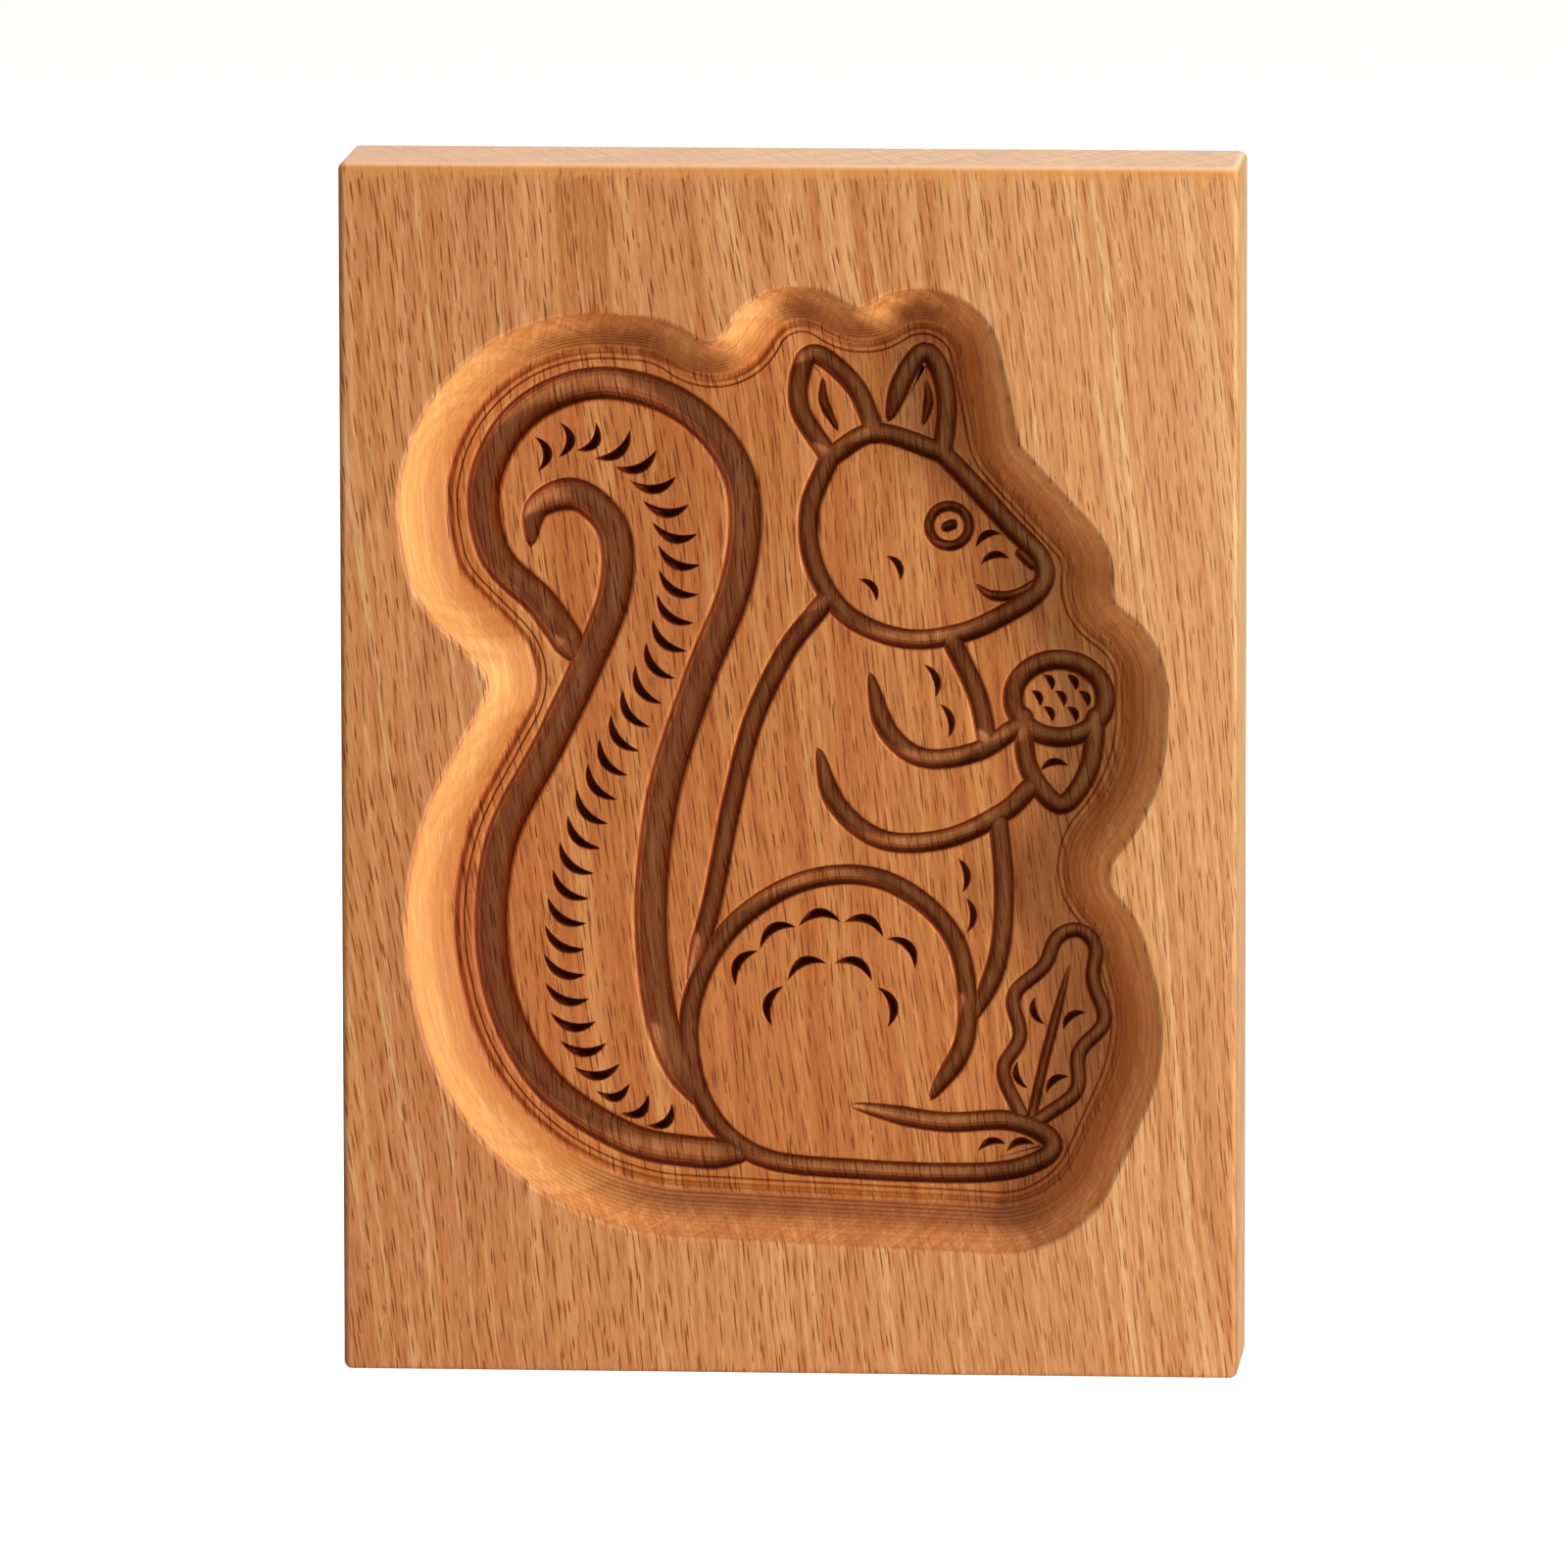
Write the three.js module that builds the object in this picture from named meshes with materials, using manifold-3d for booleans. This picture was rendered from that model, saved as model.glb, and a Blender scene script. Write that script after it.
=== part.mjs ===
// A wooden cookie mould: one thick beech board, with a hollow in its face for the dough
// and a sitting squirrel with an acorn cut as grooves into the hollow's floor.
// Sizes are in millimetres. The board is modelled as it lies on a bench, carved face up
// at height 0, and the last lines stand it on its lower end, with the carving to the front.

import * as THREE from "three";
import { mergeVertices } from "three/addons/utils/BufferGeometryUtils.js";
import Module from "manifold-3d";

const wasm = await Module();
wasm.setup();

// The board
const BOARD_WIDTH = 112;
const BOARD_LENGTH = 152;
const BOARD_THICKNESS = 20;
const BOARD_EDGE_RADIUS = 1;
const BOARD_CORNER_EXTRA = 0.5;

// The hollow, with a coved wall that leans out from the floor to the rim
const HOLLOW_DEPTH = 8;
const WALL_LEAN = 5.2;
const WALL_COVE = 0.5;
const RIM_EASE = 0.6;
const INNER_CORNER_RADIUS = 9;

// The fine cut that runs round the floor at the foot of the wall
const FOOT_CUT_DEPTH = 0.35;
const FOOT_CUT_WIDTH = 0.7;

// The grooves of the drawing
const TAIL_GROOVE_WIDTH = 4.4;
const TAIL_GROOVE_DEPTH = 2.6;
const LINE_GROOVE_WIDTH = 2.8;
const LINE_GROOVE_DEPTH = 2.2;
const LEAF_GROOVE_WIDTH = 2.1;
const LEAF_GROOVE_DEPTH = 1.7;
const FINE_GROOVE_WIDTH = 1.5;
const FINE_GROOVE_DEPTH = 1.4;

// The short gouge cuts of the fur
const FUR_CUT_LENGTH = 5.8;
const FUR_CUT_WIDTH = 1.35;
const FUR_CUT_DEPTH = 1.9;
const FUR_CUT_PITCH = 3.5;
const FUR_CUT_LEAN = 62;

// The small cuts of the cheek, paw, foot, acorn cup and leaf
const SMALL_CUT_LENGTH = 3.6;
const SMALL_CUT_WIDTH = 1.1;
const SMALL_CUT_DEPTH = 1.4;
const CUP_CUT_LENGTH = 2.2;
const CUP_CUT_PITCH_ACROSS = 3;
const CUP_CUT_PITCH_DOWN = 2;

// Round and leaf shapes of the drawing
const EYE_RADIUS = 2.5;
const ACORN_CUP_WIDTH = 11.6;
const ACORN_CUP_HEIGHT = 9.8;
const LEAF_HALF_WIDTH = 6;
const LEAF_LOBES = 3;
const LEAF_LOBE_SHARE = 0.34;
const HAUNCH_INNER_RING = 6.8;
const HAUNCH_OUTER_RING = 12.3;

// One step of the drawing's grid, whose zero is the middle of the board's face
const DRAWING_UNIT = 1;

// How finely curves are divided, and how far a cutter reaches above what it cuts
const ARC_STEP = 2.2;
const WALL_STEPS = 4;
const SPAN_STEPS = 3;
const LEAF_STEPS = 16;
const CUT_STEPS = 4;
const CUTTER_ABOVE = 0.6;

// A groove's thinnest end, as a share of its width, and the steps of a round end, as shares of half its width
const THIN_END = 0.08;
const END_STEPS = [0.7, 1];

// How far a gouge cut bows out of straight, as a share of half its length
const CUT_BOW = 0.95;

// The corners of the hollow's floor, counter-clockwise: x, y and the radius of the rounding
const FLOOR_CORNERS = [
  [-36.5, -52.5, 30],
  [32.5, -55.5, 10.5],
  [42, -34, 19],
  [38.5, -21, 7],
  [31.5, -13, INNER_CORNER_RADIUS],
  [41.5, -0.5, 20],
  [41.5, 14, 7],
  [34, 19, INNER_CORNER_RADIUS],
  [35, 26, 4.5],
  [23.5, 38.5, INNER_CORNER_RADIUS],
  [19.5, 58.5, 5],
  [8.5, 51, INNER_CORNER_RADIUS],
  [-0.5, 57.5, 4.5],
  [-7, 44, INNER_CORNER_RADIUS],
  [-17, 51.5, 9],
  [-47.5, 53.5, 19.5],
  [-42, 24, 9.5],
  [-30, 12, INNER_CORNER_RADIUS],
  [-44.5, -14.5, 36],
];

// The wide grooves along both sides of the tail, whose tip curls in on itself
const TAIL_LINES = [
  {
    points: [[-5, -49.4], [-12.5, -49.4], [-21.7, -47.4], [-31.9, -39.9], [-37.6, -26.9], [-37, -11.1],
      [-30.5, 2.4], [-26, 12], [-22.5, 21], [-22.5, 29], [-27, 33.5], [-32, 32], [-33, 27]],
    fadeIn: 5,
    fadeOut: 9,
  },
  {
    points: [[-26.6, 12.4], [-31.4, 19.6], [-37.4, 26], [-38.6, 35.3], [-33.6, 43.9], [-24.1, 47.6],
      [-13.5, 44.5], [-6.8, 36], [-6.8, 24], [-12, 10], [-16.6, -5], [-18, -21], [-16, -35], [-10.6, -44.5]],
    fadeIn: 3,
    fadeOut: 6,
  },
];

// The lines of the back, haunch with foot, throat, belly, arm, head, ears and acorn
const BODY_LINES = [
  { points: [[4, 20.5], [-1, 14], [-5.2, 5], [-8, -6], [-10.4, -18], [-13.2, -28]], fadeOut: 5 },
  {
    points: [[17, -42.5], [21.5, -34], [20, -22], [11.5, -14.8], [1, -15], [-8.5, -21.5], [-13.2, -32],
      [-11.5, -43], [-4.5, -49.8], [9, -51.4], [24, -51.6], [30.9, -49.9], [32.2, -47.3], [27, -45],
      [18, -45.2], [7, -43.2]],
    fadeIn: 5,
    fadeOut: 7,
  },
  { points: [[19.5, 16], [22.8, 9], [24.3, 2.5]] },
  { points: [[25.6, -7.5], [26.3, -16], [25.4, -25], [22, -33]], fadeOut: 6 },
  { points: [[9.5, 11.5], [11.5, 4.5], [16, 0.8], [22.5, 1.5], [29.2, 5.5]], fadeIn: 6 },
  { points: [[3, 2], [5.2, -5], [11, -9.6], [19, -9.4], [26.2, -6], [31, -1.5]], fadeIn: 6 },
  {
    points: [[4.5, 38.5], [2, 32], [2.5, 25], [6.5, 18.8], [13.5, 15.8], [20.5, 16.4], [26.5, 19],
      [30.8, 22.2], [31, 25.8], [27, 30.2], [21.5, 36.2], [18.6, 39.2]],
  },
  { points: [[4.5, 38.5], [10.2, 41.6], [18.6, 39.2]] },
  { points: [[4.5, 38.5], [0.8, 44.6], [1.2, 50.2], [3.4, 51.2], [7.8, 47.2], [10.2, 41.6]] },
  { points: [[11.8, 43], [13.8, 48.6], [16.4, 51.8], [18.5, 49.2], [19.2, 44.6], [18.6, 39.2]], fadeIn: 4 },
  { points: [[28.7, 6], [29.4, -0.5], [33.4, -5], [36.9, -0.5], [37.8, 6]] },
];

// The finer lines: folds of the ears, mouth, nose, pupil and the leaf's rib
const FINE_LINES = [
  { points: [[5.6, 41.8], [3.8, 45.4], [3.7, 48.6]], fadeIn: 3, fadeOut: 3 },
  { points: [[16.2, 42.5], [16.9, 45.6], [16.6, 48.4]], fadeIn: 3, fadeOut: 3 },
  { points: [[30.6, 23], [27.6, 21.4], [24.6, 21.4], [22.6, 22.8]], fadeOut: 3 },
  { points: [[28.4, 26.6], [29.9, 25.2]] },
  { points: [[19.1, 29.9], [19.8, 30.2]] },
  { points: [[29.6, -45.2], [31.2, -38], [33, -31], [34.6, -25]], fadeOut: 8 },
];

// Where the fur's row of cuts runs along the middle of the tail
const TAIL_MIDDLE = [[-15, -45.5], [-22.5, -41.5], [-28, -31.5], [-28.5, -19], [-25.5, -6.5], [-20.5, 5],
  [-15.5, 16], [-14.5, 28], [-19, 37.5], [-27, 41], [-34, 37.5]];

// Middles of the round and leaf shapes
const EYE_MIDDLE = [19.4, 30];
const ACORN_CUP_MIDDLE = [33.2, 8.4];
const HAUNCH_MIDDLE = [4.5, -32.5];
const LEAF_BASE = [29.4, -45.2];
const LEAF_TIP = [35.8, -20.8];

// Single cuts: x, y and the angle of each
const CHEST_CUTS = [[17, 10.5, -70], [18.8, 5.5, -75], [20.8, -14, -82], [21.6, -19, -88],
  [20.6, -24.6, -96]];
const FACE_CUTS = [[12.4, 24.6, -60], [9.2, 21.8, -50], [25.2, 25.6, 12], [24.4, 28.2, 28]];
const PAW_CUTS = [[31.6, 2.4, 15], [31.7, 0, 10]];
const TOE_CUTS = [[28.4, -48.4, 15], [24.8, -48.4, 15]];
const HAUNCH_OUTER_ANGLES = [44, 70, 96, 122, 148];
const HAUNCH_INNER_ANGLES = [15, 65, 115, 165];

// A point of the drawing, at the level of the hollow's floor
function onFloor([x, y]) {
  return new THREE.Vector3(x * DRAWING_UNIT, y * DRAWING_UNIT, -HOLLOW_DEPTH);
}

// A closed body with its vertices joined, ready to be cut or joined
function solid(geometry) {
  const bare = geometry.clone();
  bare.deleteAttribute("normal");
  bare.deleteAttribute("uv");
  const joined = mergeVertices(bare, 1e-4);
  const vertProperties = new Float32Array(joined.attributes.position.array);
  const triVerts = new Uint32Array(joined.index.array);
  return new wasm.Manifold(new wasm.Mesh({ numProp: 3, vertProperties, triVerts }));
}

function bodyFrom(points, faces) {
  const geometry = new THREE.BufferGeometry().setFromPoints(points);
  geometry.setIndex(faces.flat());
  return solid(geometry);
}

// The board: a rectangle with rounded corners, its edges eased all round
function boardBlank() {
  const corner = BOARD_EDGE_RADIUS + BOARD_CORNER_EXTRA;
  const right = BOARD_WIDTH / 2 - corner;
  const top = BOARD_LENGTH / 2 - corner;
  const outline = new THREE.Shape();
  outline.absarc(right, top, corner, 0, Math.PI / 2);
  outline.absarc(-right, top, corner, Math.PI / 2, Math.PI);
  outline.absarc(-right, -top, corner, Math.PI, 1.5 * Math.PI);
  outline.absarc(right, -top, corner, 1.5 * Math.PI, 2 * Math.PI);
  const blank = new THREE.ExtrudeGeometry(outline, {
    depth: BOARD_THICKNESS - 2 * BOARD_EDGE_RADIUS,
    bevelThickness: BOARD_EDGE_RADIUS,
    bevelSize: BOARD_EDGE_RADIUS,
    bevelOffset: -BOARD_EDGE_RADIUS,
    bevelSegments: 3,
    curveSegments: 3,
  });
  blank.translate(0, 0, BOARD_EDGE_RADIUS - BOARD_THICKNESS);
  return solid(blank);
}

// Where two roundings would meet on a short edge, they share it
function roundings(corners) {
  const count = corners.length;
  const at = (i) => corners[(i + count) % count];
  const list = corners.map((corner, i) => {
    const here = new THREE.Vector2(corner[0], corner[1]).multiplyScalar(DRAWING_UNIT);
    const before = new THREE.Vector2(at(i - 1)[0], at(i - 1)[1]).multiplyScalar(DRAWING_UNIT);
    const after = new THREE.Vector2(at(i + 1)[0], at(i + 1)[1]).multiplyScalar(DRAWING_UNIT);
    const into = here.clone().sub(before);
    const out = after.clone().sub(here);
    const edge = out.length();
    into.normalize();
    out.normalize();
    const turn = Math.atan2(into.cross(out), into.dot(out));
    const radius = corner[2] * DRAWING_UNIT;
    const tangent = radius * Math.tan(Math.abs(turn) / 2);
    return { here, into, turn, radius, tangent, edge };
  });
  const share = list.map((r, i) => r.edge / (r.tangent + list[(i + 1) % count].tangent));
  return list.map((r, i) => {
    const fit = Math.min(1, share[i], share[(i + count - 1) % count]);
    return { ...r, radius: r.radius * fit, tangent: r.tangent * fit };
  });
}

// The floor's outline, moved outward: an outer corner's arc grows and an inner one's shrinks
function hollowOutline(outward) {
  const points = [];
  for (const { here, into, turn, radius, tangent } of roundings(FLOOR_CORNERS)) {
    const side = Math.sign(turn);
    const normal = new THREE.Vector2(-into.y, into.x).multiplyScalar(side);
    const centre = here.clone().addScaledVector(into, -tangent).addScaledVector(normal, radius);
    const reach = Math.max(radius + side * outward, 0.05);
    const steps = Math.ceil((Math.abs(turn) * (radius + WALL_LEAN)) / ARC_STEP);
    const start = normal.clone().negate().angle();
    for (let i = 0; i <= steps; i++) {
      const angle = start + (turn * i) / steps;
      points.push(new THREE.Vector2(Math.cos(angle), Math.sin(angle)).multiplyScalar(reach).add(centre));
    }
  }
  return points;
}

// The wall from the floor up: the fine cut at its foot, the cove and the eased rim
function wallProfile() {
  const foot = new THREE.Vector2(0, -HOLLOW_DEPTH - FOOT_CUT_DEPTH);
  const rim = new THREE.Vector2(WALL_LEAN, -RIM_EASE);
  const belly = foot.clone().lerp(rim, 0.5).add(new THREE.Vector2(WALL_COVE, -WALL_COVE));
  const cove = new THREE.QuadraticBezierCurve(foot, belly, rim).getPoints(WALL_STEPS);
  const floorEdge = new THREE.Vector2(-FOOT_CUT_WIDTH, -HOLLOW_DEPTH);
  const face = new THREE.Vector2(WALL_LEAN + RIM_EASE, 0);
  const above = new THREE.Vector2(WALL_LEAN + RIM_EASE, CUTTER_ABOVE);
  return [floorEdge, ...cove, face, above];
}

// The hollow: the outline is repeated at each level of the wall, and the levels are joined
function hollowCutter() {
  const rings = wallProfile().map(({ x, y }) =>
    hollowOutline(x).map((p) => new THREE.Vector3(p.x, p.y, y)));
  const count = rings[0].length;
  const faces = [];
  for (let level = 0; level < rings.length - 1; level++) {
    for (let i = 0; i < count; i++) {
      const a = level * count + i;
      const b = level * count + ((i + 1) % count);
      faces.push([a, b, b + count], [a, b + count, a + count]);
    }
  }
  const caps = (ring) =>
    THREE.ShapeUtils.triangulateShape(ring.map((p) => new THREE.Vector2(p.x, p.y)), []);
  const last = (rings.length - 1) * count;
  for (const [a, b, c] of caps(rings[0])) faces.push([a, c, b]);
  for (const [a, b, c] of caps(rings[rings.length - 1])) faces.push([last + a, last + b, last + c]);
  return bodyFrom(rings.flat(), faces);
}

// A groove along a line on the floor: a rounded V whose width and depth follow a taper from 0 to 1
function grooveCutter(line, width, depth, taper, closed = false) {
  const section = [[-1, null], [-1, 0], [-0.62, -0.72], [0, -1], [0.62, -0.72], [1, 0], [1, null]];
  const lengths = [0];
  for (let i = 1; i < line.length; i++) lengths.push(lengths[i - 1] + line[i].distanceTo(line[i - 1]));
  const total = lengths[line.length - 1];
  const points = [];
  line.forEach((here, i) => {
    const before = line[closed ? (i + line.length - 1) % line.length : Math.max(i - 1, 0)];
    const after = line[closed ? (i + 1) % line.length : Math.min(i + 1, line.length - 1)];
    const along = after.clone().sub(before).normalize();
    const across = new THREE.Vector3(-along.y, along.x, 0);
    const scale = taper(lengths[i], total);
    for (const [u, v] of section) {
      const rise = v === null ? CUTTER_ABOVE : v * depth * scale;
      points.push(here.clone().addScaledVector(across, (u * width * scale) / 2).setZ(here.z + rise));
    }
  });
  const n = section.length;
  const rings = line.length;
  const faces = [];
  for (let i = 0; i < (closed ? rings : rings - 1); i++) {
    for (let k = 0; k < n; k++) {
      const a = i * n + k;
      const b = i * n + ((k + 1) % n);
      const c = ((i + 1) % rings) * n + k;
      const d = ((i + 1) % rings) * n + ((k + 1) % n);
      faces.push([a, b, d], [a, d, c]);
    }
  }
  if (!closed) {
    const end = (rings - 1) * n;
    for (let k = 1; k < n - 1; k++) faces.push([0, k + 1, k], [end, end + k, end + k + 1]);
  }
  const body = bodyFrom(points, faces);
  if (body.volume() > 0) return body;
  return bodyFrom(points, faces.map(([a, b, c]) => [a, c, b]));
}

// The line drawn on by half the groove's width, in two steps, where the cutter stops without a fade
function withNoses(line, half, first, last) {
  const beyond = (end, inner) =>
    END_STEPS.map((share) => {
      const out = end.clone().sub(inner).setLength(half * share);
      return out.add(end);
    });
  const before = first ? beyond(line[0], line[1]).reverse() : [];
  const after = last ? beyond(line[line.length - 1], line[line.length - 2]) : [];
  return [...before, ...line, ...after];
}

// Along a line the groove fades over a length at an end, or ends round like the cutter's nose
function openCutter(line, width, depth, fadeIn = 0, fadeOut = 0) {
  const half = width / 2;
  const taper = (distance, reach) => {
    if (reach) return THIN_END + (1 - THIN_END) * Math.sqrt(Math.min(distance / (reach * DRAWING_UNIT), 1));
    const left = 1 - Math.min(distance / half, 1);
    return Math.max(Math.sqrt(1 - left * left), THIN_END);
  };
  const both = (at, total) => Math.min(taper(at, fadeIn), taper(total - at, fadeOut));
  return grooveCutter(withNoses(line, half, !fadeIn, !fadeOut), width, depth, both);
}

// A line of the drawing, smooth through its points
function lineCutter({ points, fadeIn, fadeOut }, width, depth) {
  const curve = new THREE.CatmullRomCurve3(points.map(onFloor), false, "catmullrom", 0.5);
  return openCutter(curve.getPoints((points.length - 1) * SPAN_STEPS), width, depth, fadeIn, fadeOut);
}

// A closed line through points that a formula gives
function loopCutter(points, width, depth) {
  return grooveCutter(points.map(onFloor), width, depth, () => 1, true);
}

// A short gouge cut: a shallow arc that is widest and deepest in its middle
function gougeCutter(middle, degrees, length, width, depth) {
  const half = length / 2;
  const turn = THREE.MathUtils.degToRad(degrees);
  const arc = new THREE.QuadraticBezierCurve3(
    new THREE.Vector3(-half, 0, 0),
    new THREE.Vector3(0, half * CUT_BOW, 0),
    new THREE.Vector3(half, 0, 0),
  );
  const line = arc.getPoints(CUT_STEPS);
  for (const p of line) p.applyAxisAngle(new THREE.Vector3(0, 0, 1), turn).add(middle);
  return grooveCutter(line, width, depth, (at, total) =>
    THIN_END + (1 - THIN_END) * Math.max(Math.sin((Math.PI * at) / total), 0) ** 0.8);
}

// Small cuts at places given as x, y and angle
function smallCuts(places, length = SMALL_CUT_LENGTH) {
  return places.map(([x, y, degrees]) =>
    gougeCutter(onFloor([x, y]), degrees, length, SMALL_CUT_WIDTH, SMALL_CUT_DEPTH));
}

function ellipse([x, y], halfWidth, halfHeight, steps) {
  return Array.from({ length: steps }, (_, i) => {
    const angle = (2 * Math.PI * i) / steps;
    return [x + halfWidth * Math.cos(angle), y + halfHeight * Math.sin(angle)];
  });
}

// An oak leaf, open at its base: its half width swells from base to tip and dips between its lobes
function leafLine() {
  const base = new THREE.Vector2(...LEAF_BASE);
  const along = new THREE.Vector2(...LEAF_TIP).sub(base);
  const across = new THREE.Vector2(-along.y, along.x).normalize();
  const start = 0.25;
  const edge = (side) =>
    Array.from({ length: LEAF_STEPS }, (_, i) => {
      const share = 0.5 - 0.5 * Math.cos(start + ((Math.PI - start) * i) / LEAF_STEPS);
      const dip = LEAF_LOBE_SHARE * (0.5 + 0.5 * Math.cos(2 * Math.PI * (LEAF_LOBES - 0.5) * share));
      const half = LEAF_HALF_WIDTH * Math.sqrt(Math.sin(Math.PI * share)) * (1 - dip);
      const p = base.clone().addScaledVector(along, share).addScaledVector(across, side * half);
      return [p.x, p.y];
    });
  return [...edge(-1), LEAF_TIP, ...edge(1).reverse()].map(onFloor);
}

// The row of fur cuts along the tail, each leaning across its line
function tailFur() {
  const curve = new THREE.CatmullRomCurve3(TAIL_MIDDLE.map(onFloor), false, "catmullrom", 0.5);
  const count = Math.floor(curve.getLength() / FUR_CUT_PITCH);
  const cuts = [];
  for (let i = 0; i <= count; i++) {
    const share = 0.02 + (0.96 * i) / count;
    const along = curve.getTangentAt(share);
    const degrees = THREE.MathUtils.radToDeg(Math.atan2(along.y, along.x)) + FUR_CUT_LEAN;
    const nearEnd = i < 3 || i > count - 3;
    const length = FUR_CUT_LENGTH * (nearEnd ? 0.75 : 1);
    cuts.push(gougeCutter(curve.getPointAt(share), degrees, length, FUR_CUT_WIDTH, FUR_CUT_DEPTH));
  }
  return cuts;
}

// Rings of fur cuts round the middle of the haunch
function haunchFur() {
  const ring = (radius, angles) =>
    angles.map((degrees) => {
      const angle = THREE.MathUtils.degToRad(degrees);
      const x = HAUNCH_MIDDLE[0] + radius * Math.cos(angle);
      const y = HAUNCH_MIDDLE[1] + radius * Math.sin(angle);
      return gougeCutter(onFloor([x, y]), degrees - 90, FUR_CUT_LENGTH * 0.9, FUR_CUT_WIDTH, FUR_CUT_DEPTH);
    });
  return [...ring(HAUNCH_OUTER_RING, HAUNCH_OUTER_ANGLES), ...ring(HAUNCH_INNER_RING, HAUNCH_INNER_ANGLES)];
}

// The scales of the acorn's cup, in staggered rows that stay inside its outline
function cupCuts() {
  const cuts = [];
  for (let row = -1; row <= 1; row++) {
    const places = row === 0 ? [-1, 0, 1] : [-0.5, 0.5];
    for (const place of places) {
      const x = ACORN_CUP_MIDDLE[0] + place * CUP_CUT_PITCH_ACROSS;
      const y = ACORN_CUP_MIDDLE[1] + row * CUP_CUT_PITCH_DOWN;
      cuts.push([x, y, -60]);
    }
  }
  return smallCuts(cuts, CUP_CUT_LENGTH);
}

// The side veins of the leaf, in pairs that point towards its tip
function veinCuts() {
  const cuts = [];
  for (let lobe = 0; lobe < LEAF_LOBES - 1; lobe++) {
    const share = (lobe + 0.5) / LEAF_LOBES + 0.03;
    const x = LEAF_BASE[0] + (LEAF_TIP[0] - LEAF_BASE[0]) * share;
    const y = LEAF_BASE[1] + (LEAF_TIP[1] - LEAF_BASE[1]) * share;
    cuts.push([x + 2.4, y, 38], [x - 2, y + 1.3, 110]);
  }
  return smallCuts(cuts);
}

// The carved board: the blank less the hollow, the grooves and the gouge cuts
function carvedBoard() {
  const cup = ellipse(ACORN_CUP_MIDDLE, ACORN_CUP_WIDTH / 2, ACORN_CUP_HEIGHT / 2, 20);
  const eye = ellipse(EYE_MIDDLE, EYE_RADIUS, EYE_RADIUS, 14);
  const cutters = [
    hollowCutter(),
    ...TAIL_LINES.map((line) => lineCutter(line, TAIL_GROOVE_WIDTH, TAIL_GROOVE_DEPTH)),
    ...BODY_LINES.map((line) => lineCutter(line, LINE_GROOVE_WIDTH, LINE_GROOVE_DEPTH)),
    ...FINE_LINES.map((line) => lineCutter(line, FINE_GROOVE_WIDTH, FINE_GROOVE_DEPTH)),
    loopCutter(cup, LINE_GROOVE_WIDTH, LINE_GROOVE_DEPTH),
    openCutter(leafLine(), LEAF_GROOVE_WIDTH, LEAF_GROOVE_DEPTH),
    loopCutter(eye, FINE_GROOVE_WIDTH, FINE_GROOVE_DEPTH),
    ...tailFur(),
    ...haunchFur(),
    ...cupCuts(),
    ...veinCuts(),
    ...smallCuts(CHEST_CUTS, SMALL_CUT_LENGTH * 1.2),
    ...smallCuts([...FACE_CUTS, ...PAW_CUTS, ...TOE_CUTS]),
  ];
  let board = boardBlank();
  for (const cutter of cutters) board = board.subtract(cutter);
  return board;
}

function meshGeometry(body) {
  const { vertProperties, triVerts } = body.getMesh();
  const geometry = new THREE.BufferGeometry();
  geometry.setAttribute("position", new THREE.BufferAttribute(vertProperties, 3));
  geometry.setIndex(new THREE.BufferAttribute(triVerts, 1));
  const faceted = geometry.toNonIndexed();
  faceted.computeVertexNormals();
  return faceted;
}

const beech = new THREE.MeshStandardMaterial({ color: "#cf9663", roughness: 0.6, metalness: 0 });

// The board stands on its lower end, with its carved face to the front
const board = new THREE.Mesh(meshGeometry(carvedBoard()), beech);
board.name = "mould_board";
board.rotation.x = Math.PI / 2;
board.position.set(0, -BOARD_THICKNESS / 2, BOARD_LENGTH / 2);

const mould = new THREE.Group();
mould.name = "cookie_mould";
mould.add(board);

export default mould;
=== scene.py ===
# %% [markdown]
# # A wooden cookie mould
#
# The mould is one thick beech board. A hollow with a coved wall is cut into its face, and a
# sitting squirrel with an acorn is cut as grooves into the hollow's floor. Dough is pressed in,
# and what is cut deepest stands highest on the cookie.
#
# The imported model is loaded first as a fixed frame, because every piece below is placed by it.

# %% Load the frame
import math

import bmesh
import bpy
import numpy as np
from mathutils import Matrix, Vector


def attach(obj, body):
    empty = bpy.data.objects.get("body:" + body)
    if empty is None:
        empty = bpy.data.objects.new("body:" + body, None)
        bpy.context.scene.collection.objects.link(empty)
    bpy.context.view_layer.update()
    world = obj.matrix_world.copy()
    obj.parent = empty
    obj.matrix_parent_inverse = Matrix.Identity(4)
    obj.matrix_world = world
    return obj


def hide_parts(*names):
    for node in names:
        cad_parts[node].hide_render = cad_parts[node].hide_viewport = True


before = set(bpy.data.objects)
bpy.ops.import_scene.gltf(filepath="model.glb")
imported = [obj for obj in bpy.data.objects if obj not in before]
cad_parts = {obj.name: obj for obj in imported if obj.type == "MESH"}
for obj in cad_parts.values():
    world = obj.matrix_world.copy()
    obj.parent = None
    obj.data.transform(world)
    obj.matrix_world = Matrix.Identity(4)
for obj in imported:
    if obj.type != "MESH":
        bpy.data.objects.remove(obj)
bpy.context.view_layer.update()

# %% [markdown]
# ## Sizes and drawing
#
# The carving could be measured from the CAD mesh, but a mesh says nothing of how it was cut.
# So the sizes are written down once more, as a carver would have them on the bench drawing.
# The board lies face up: x to the right, y up the board, heights from its face, in millimetres.

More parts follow.
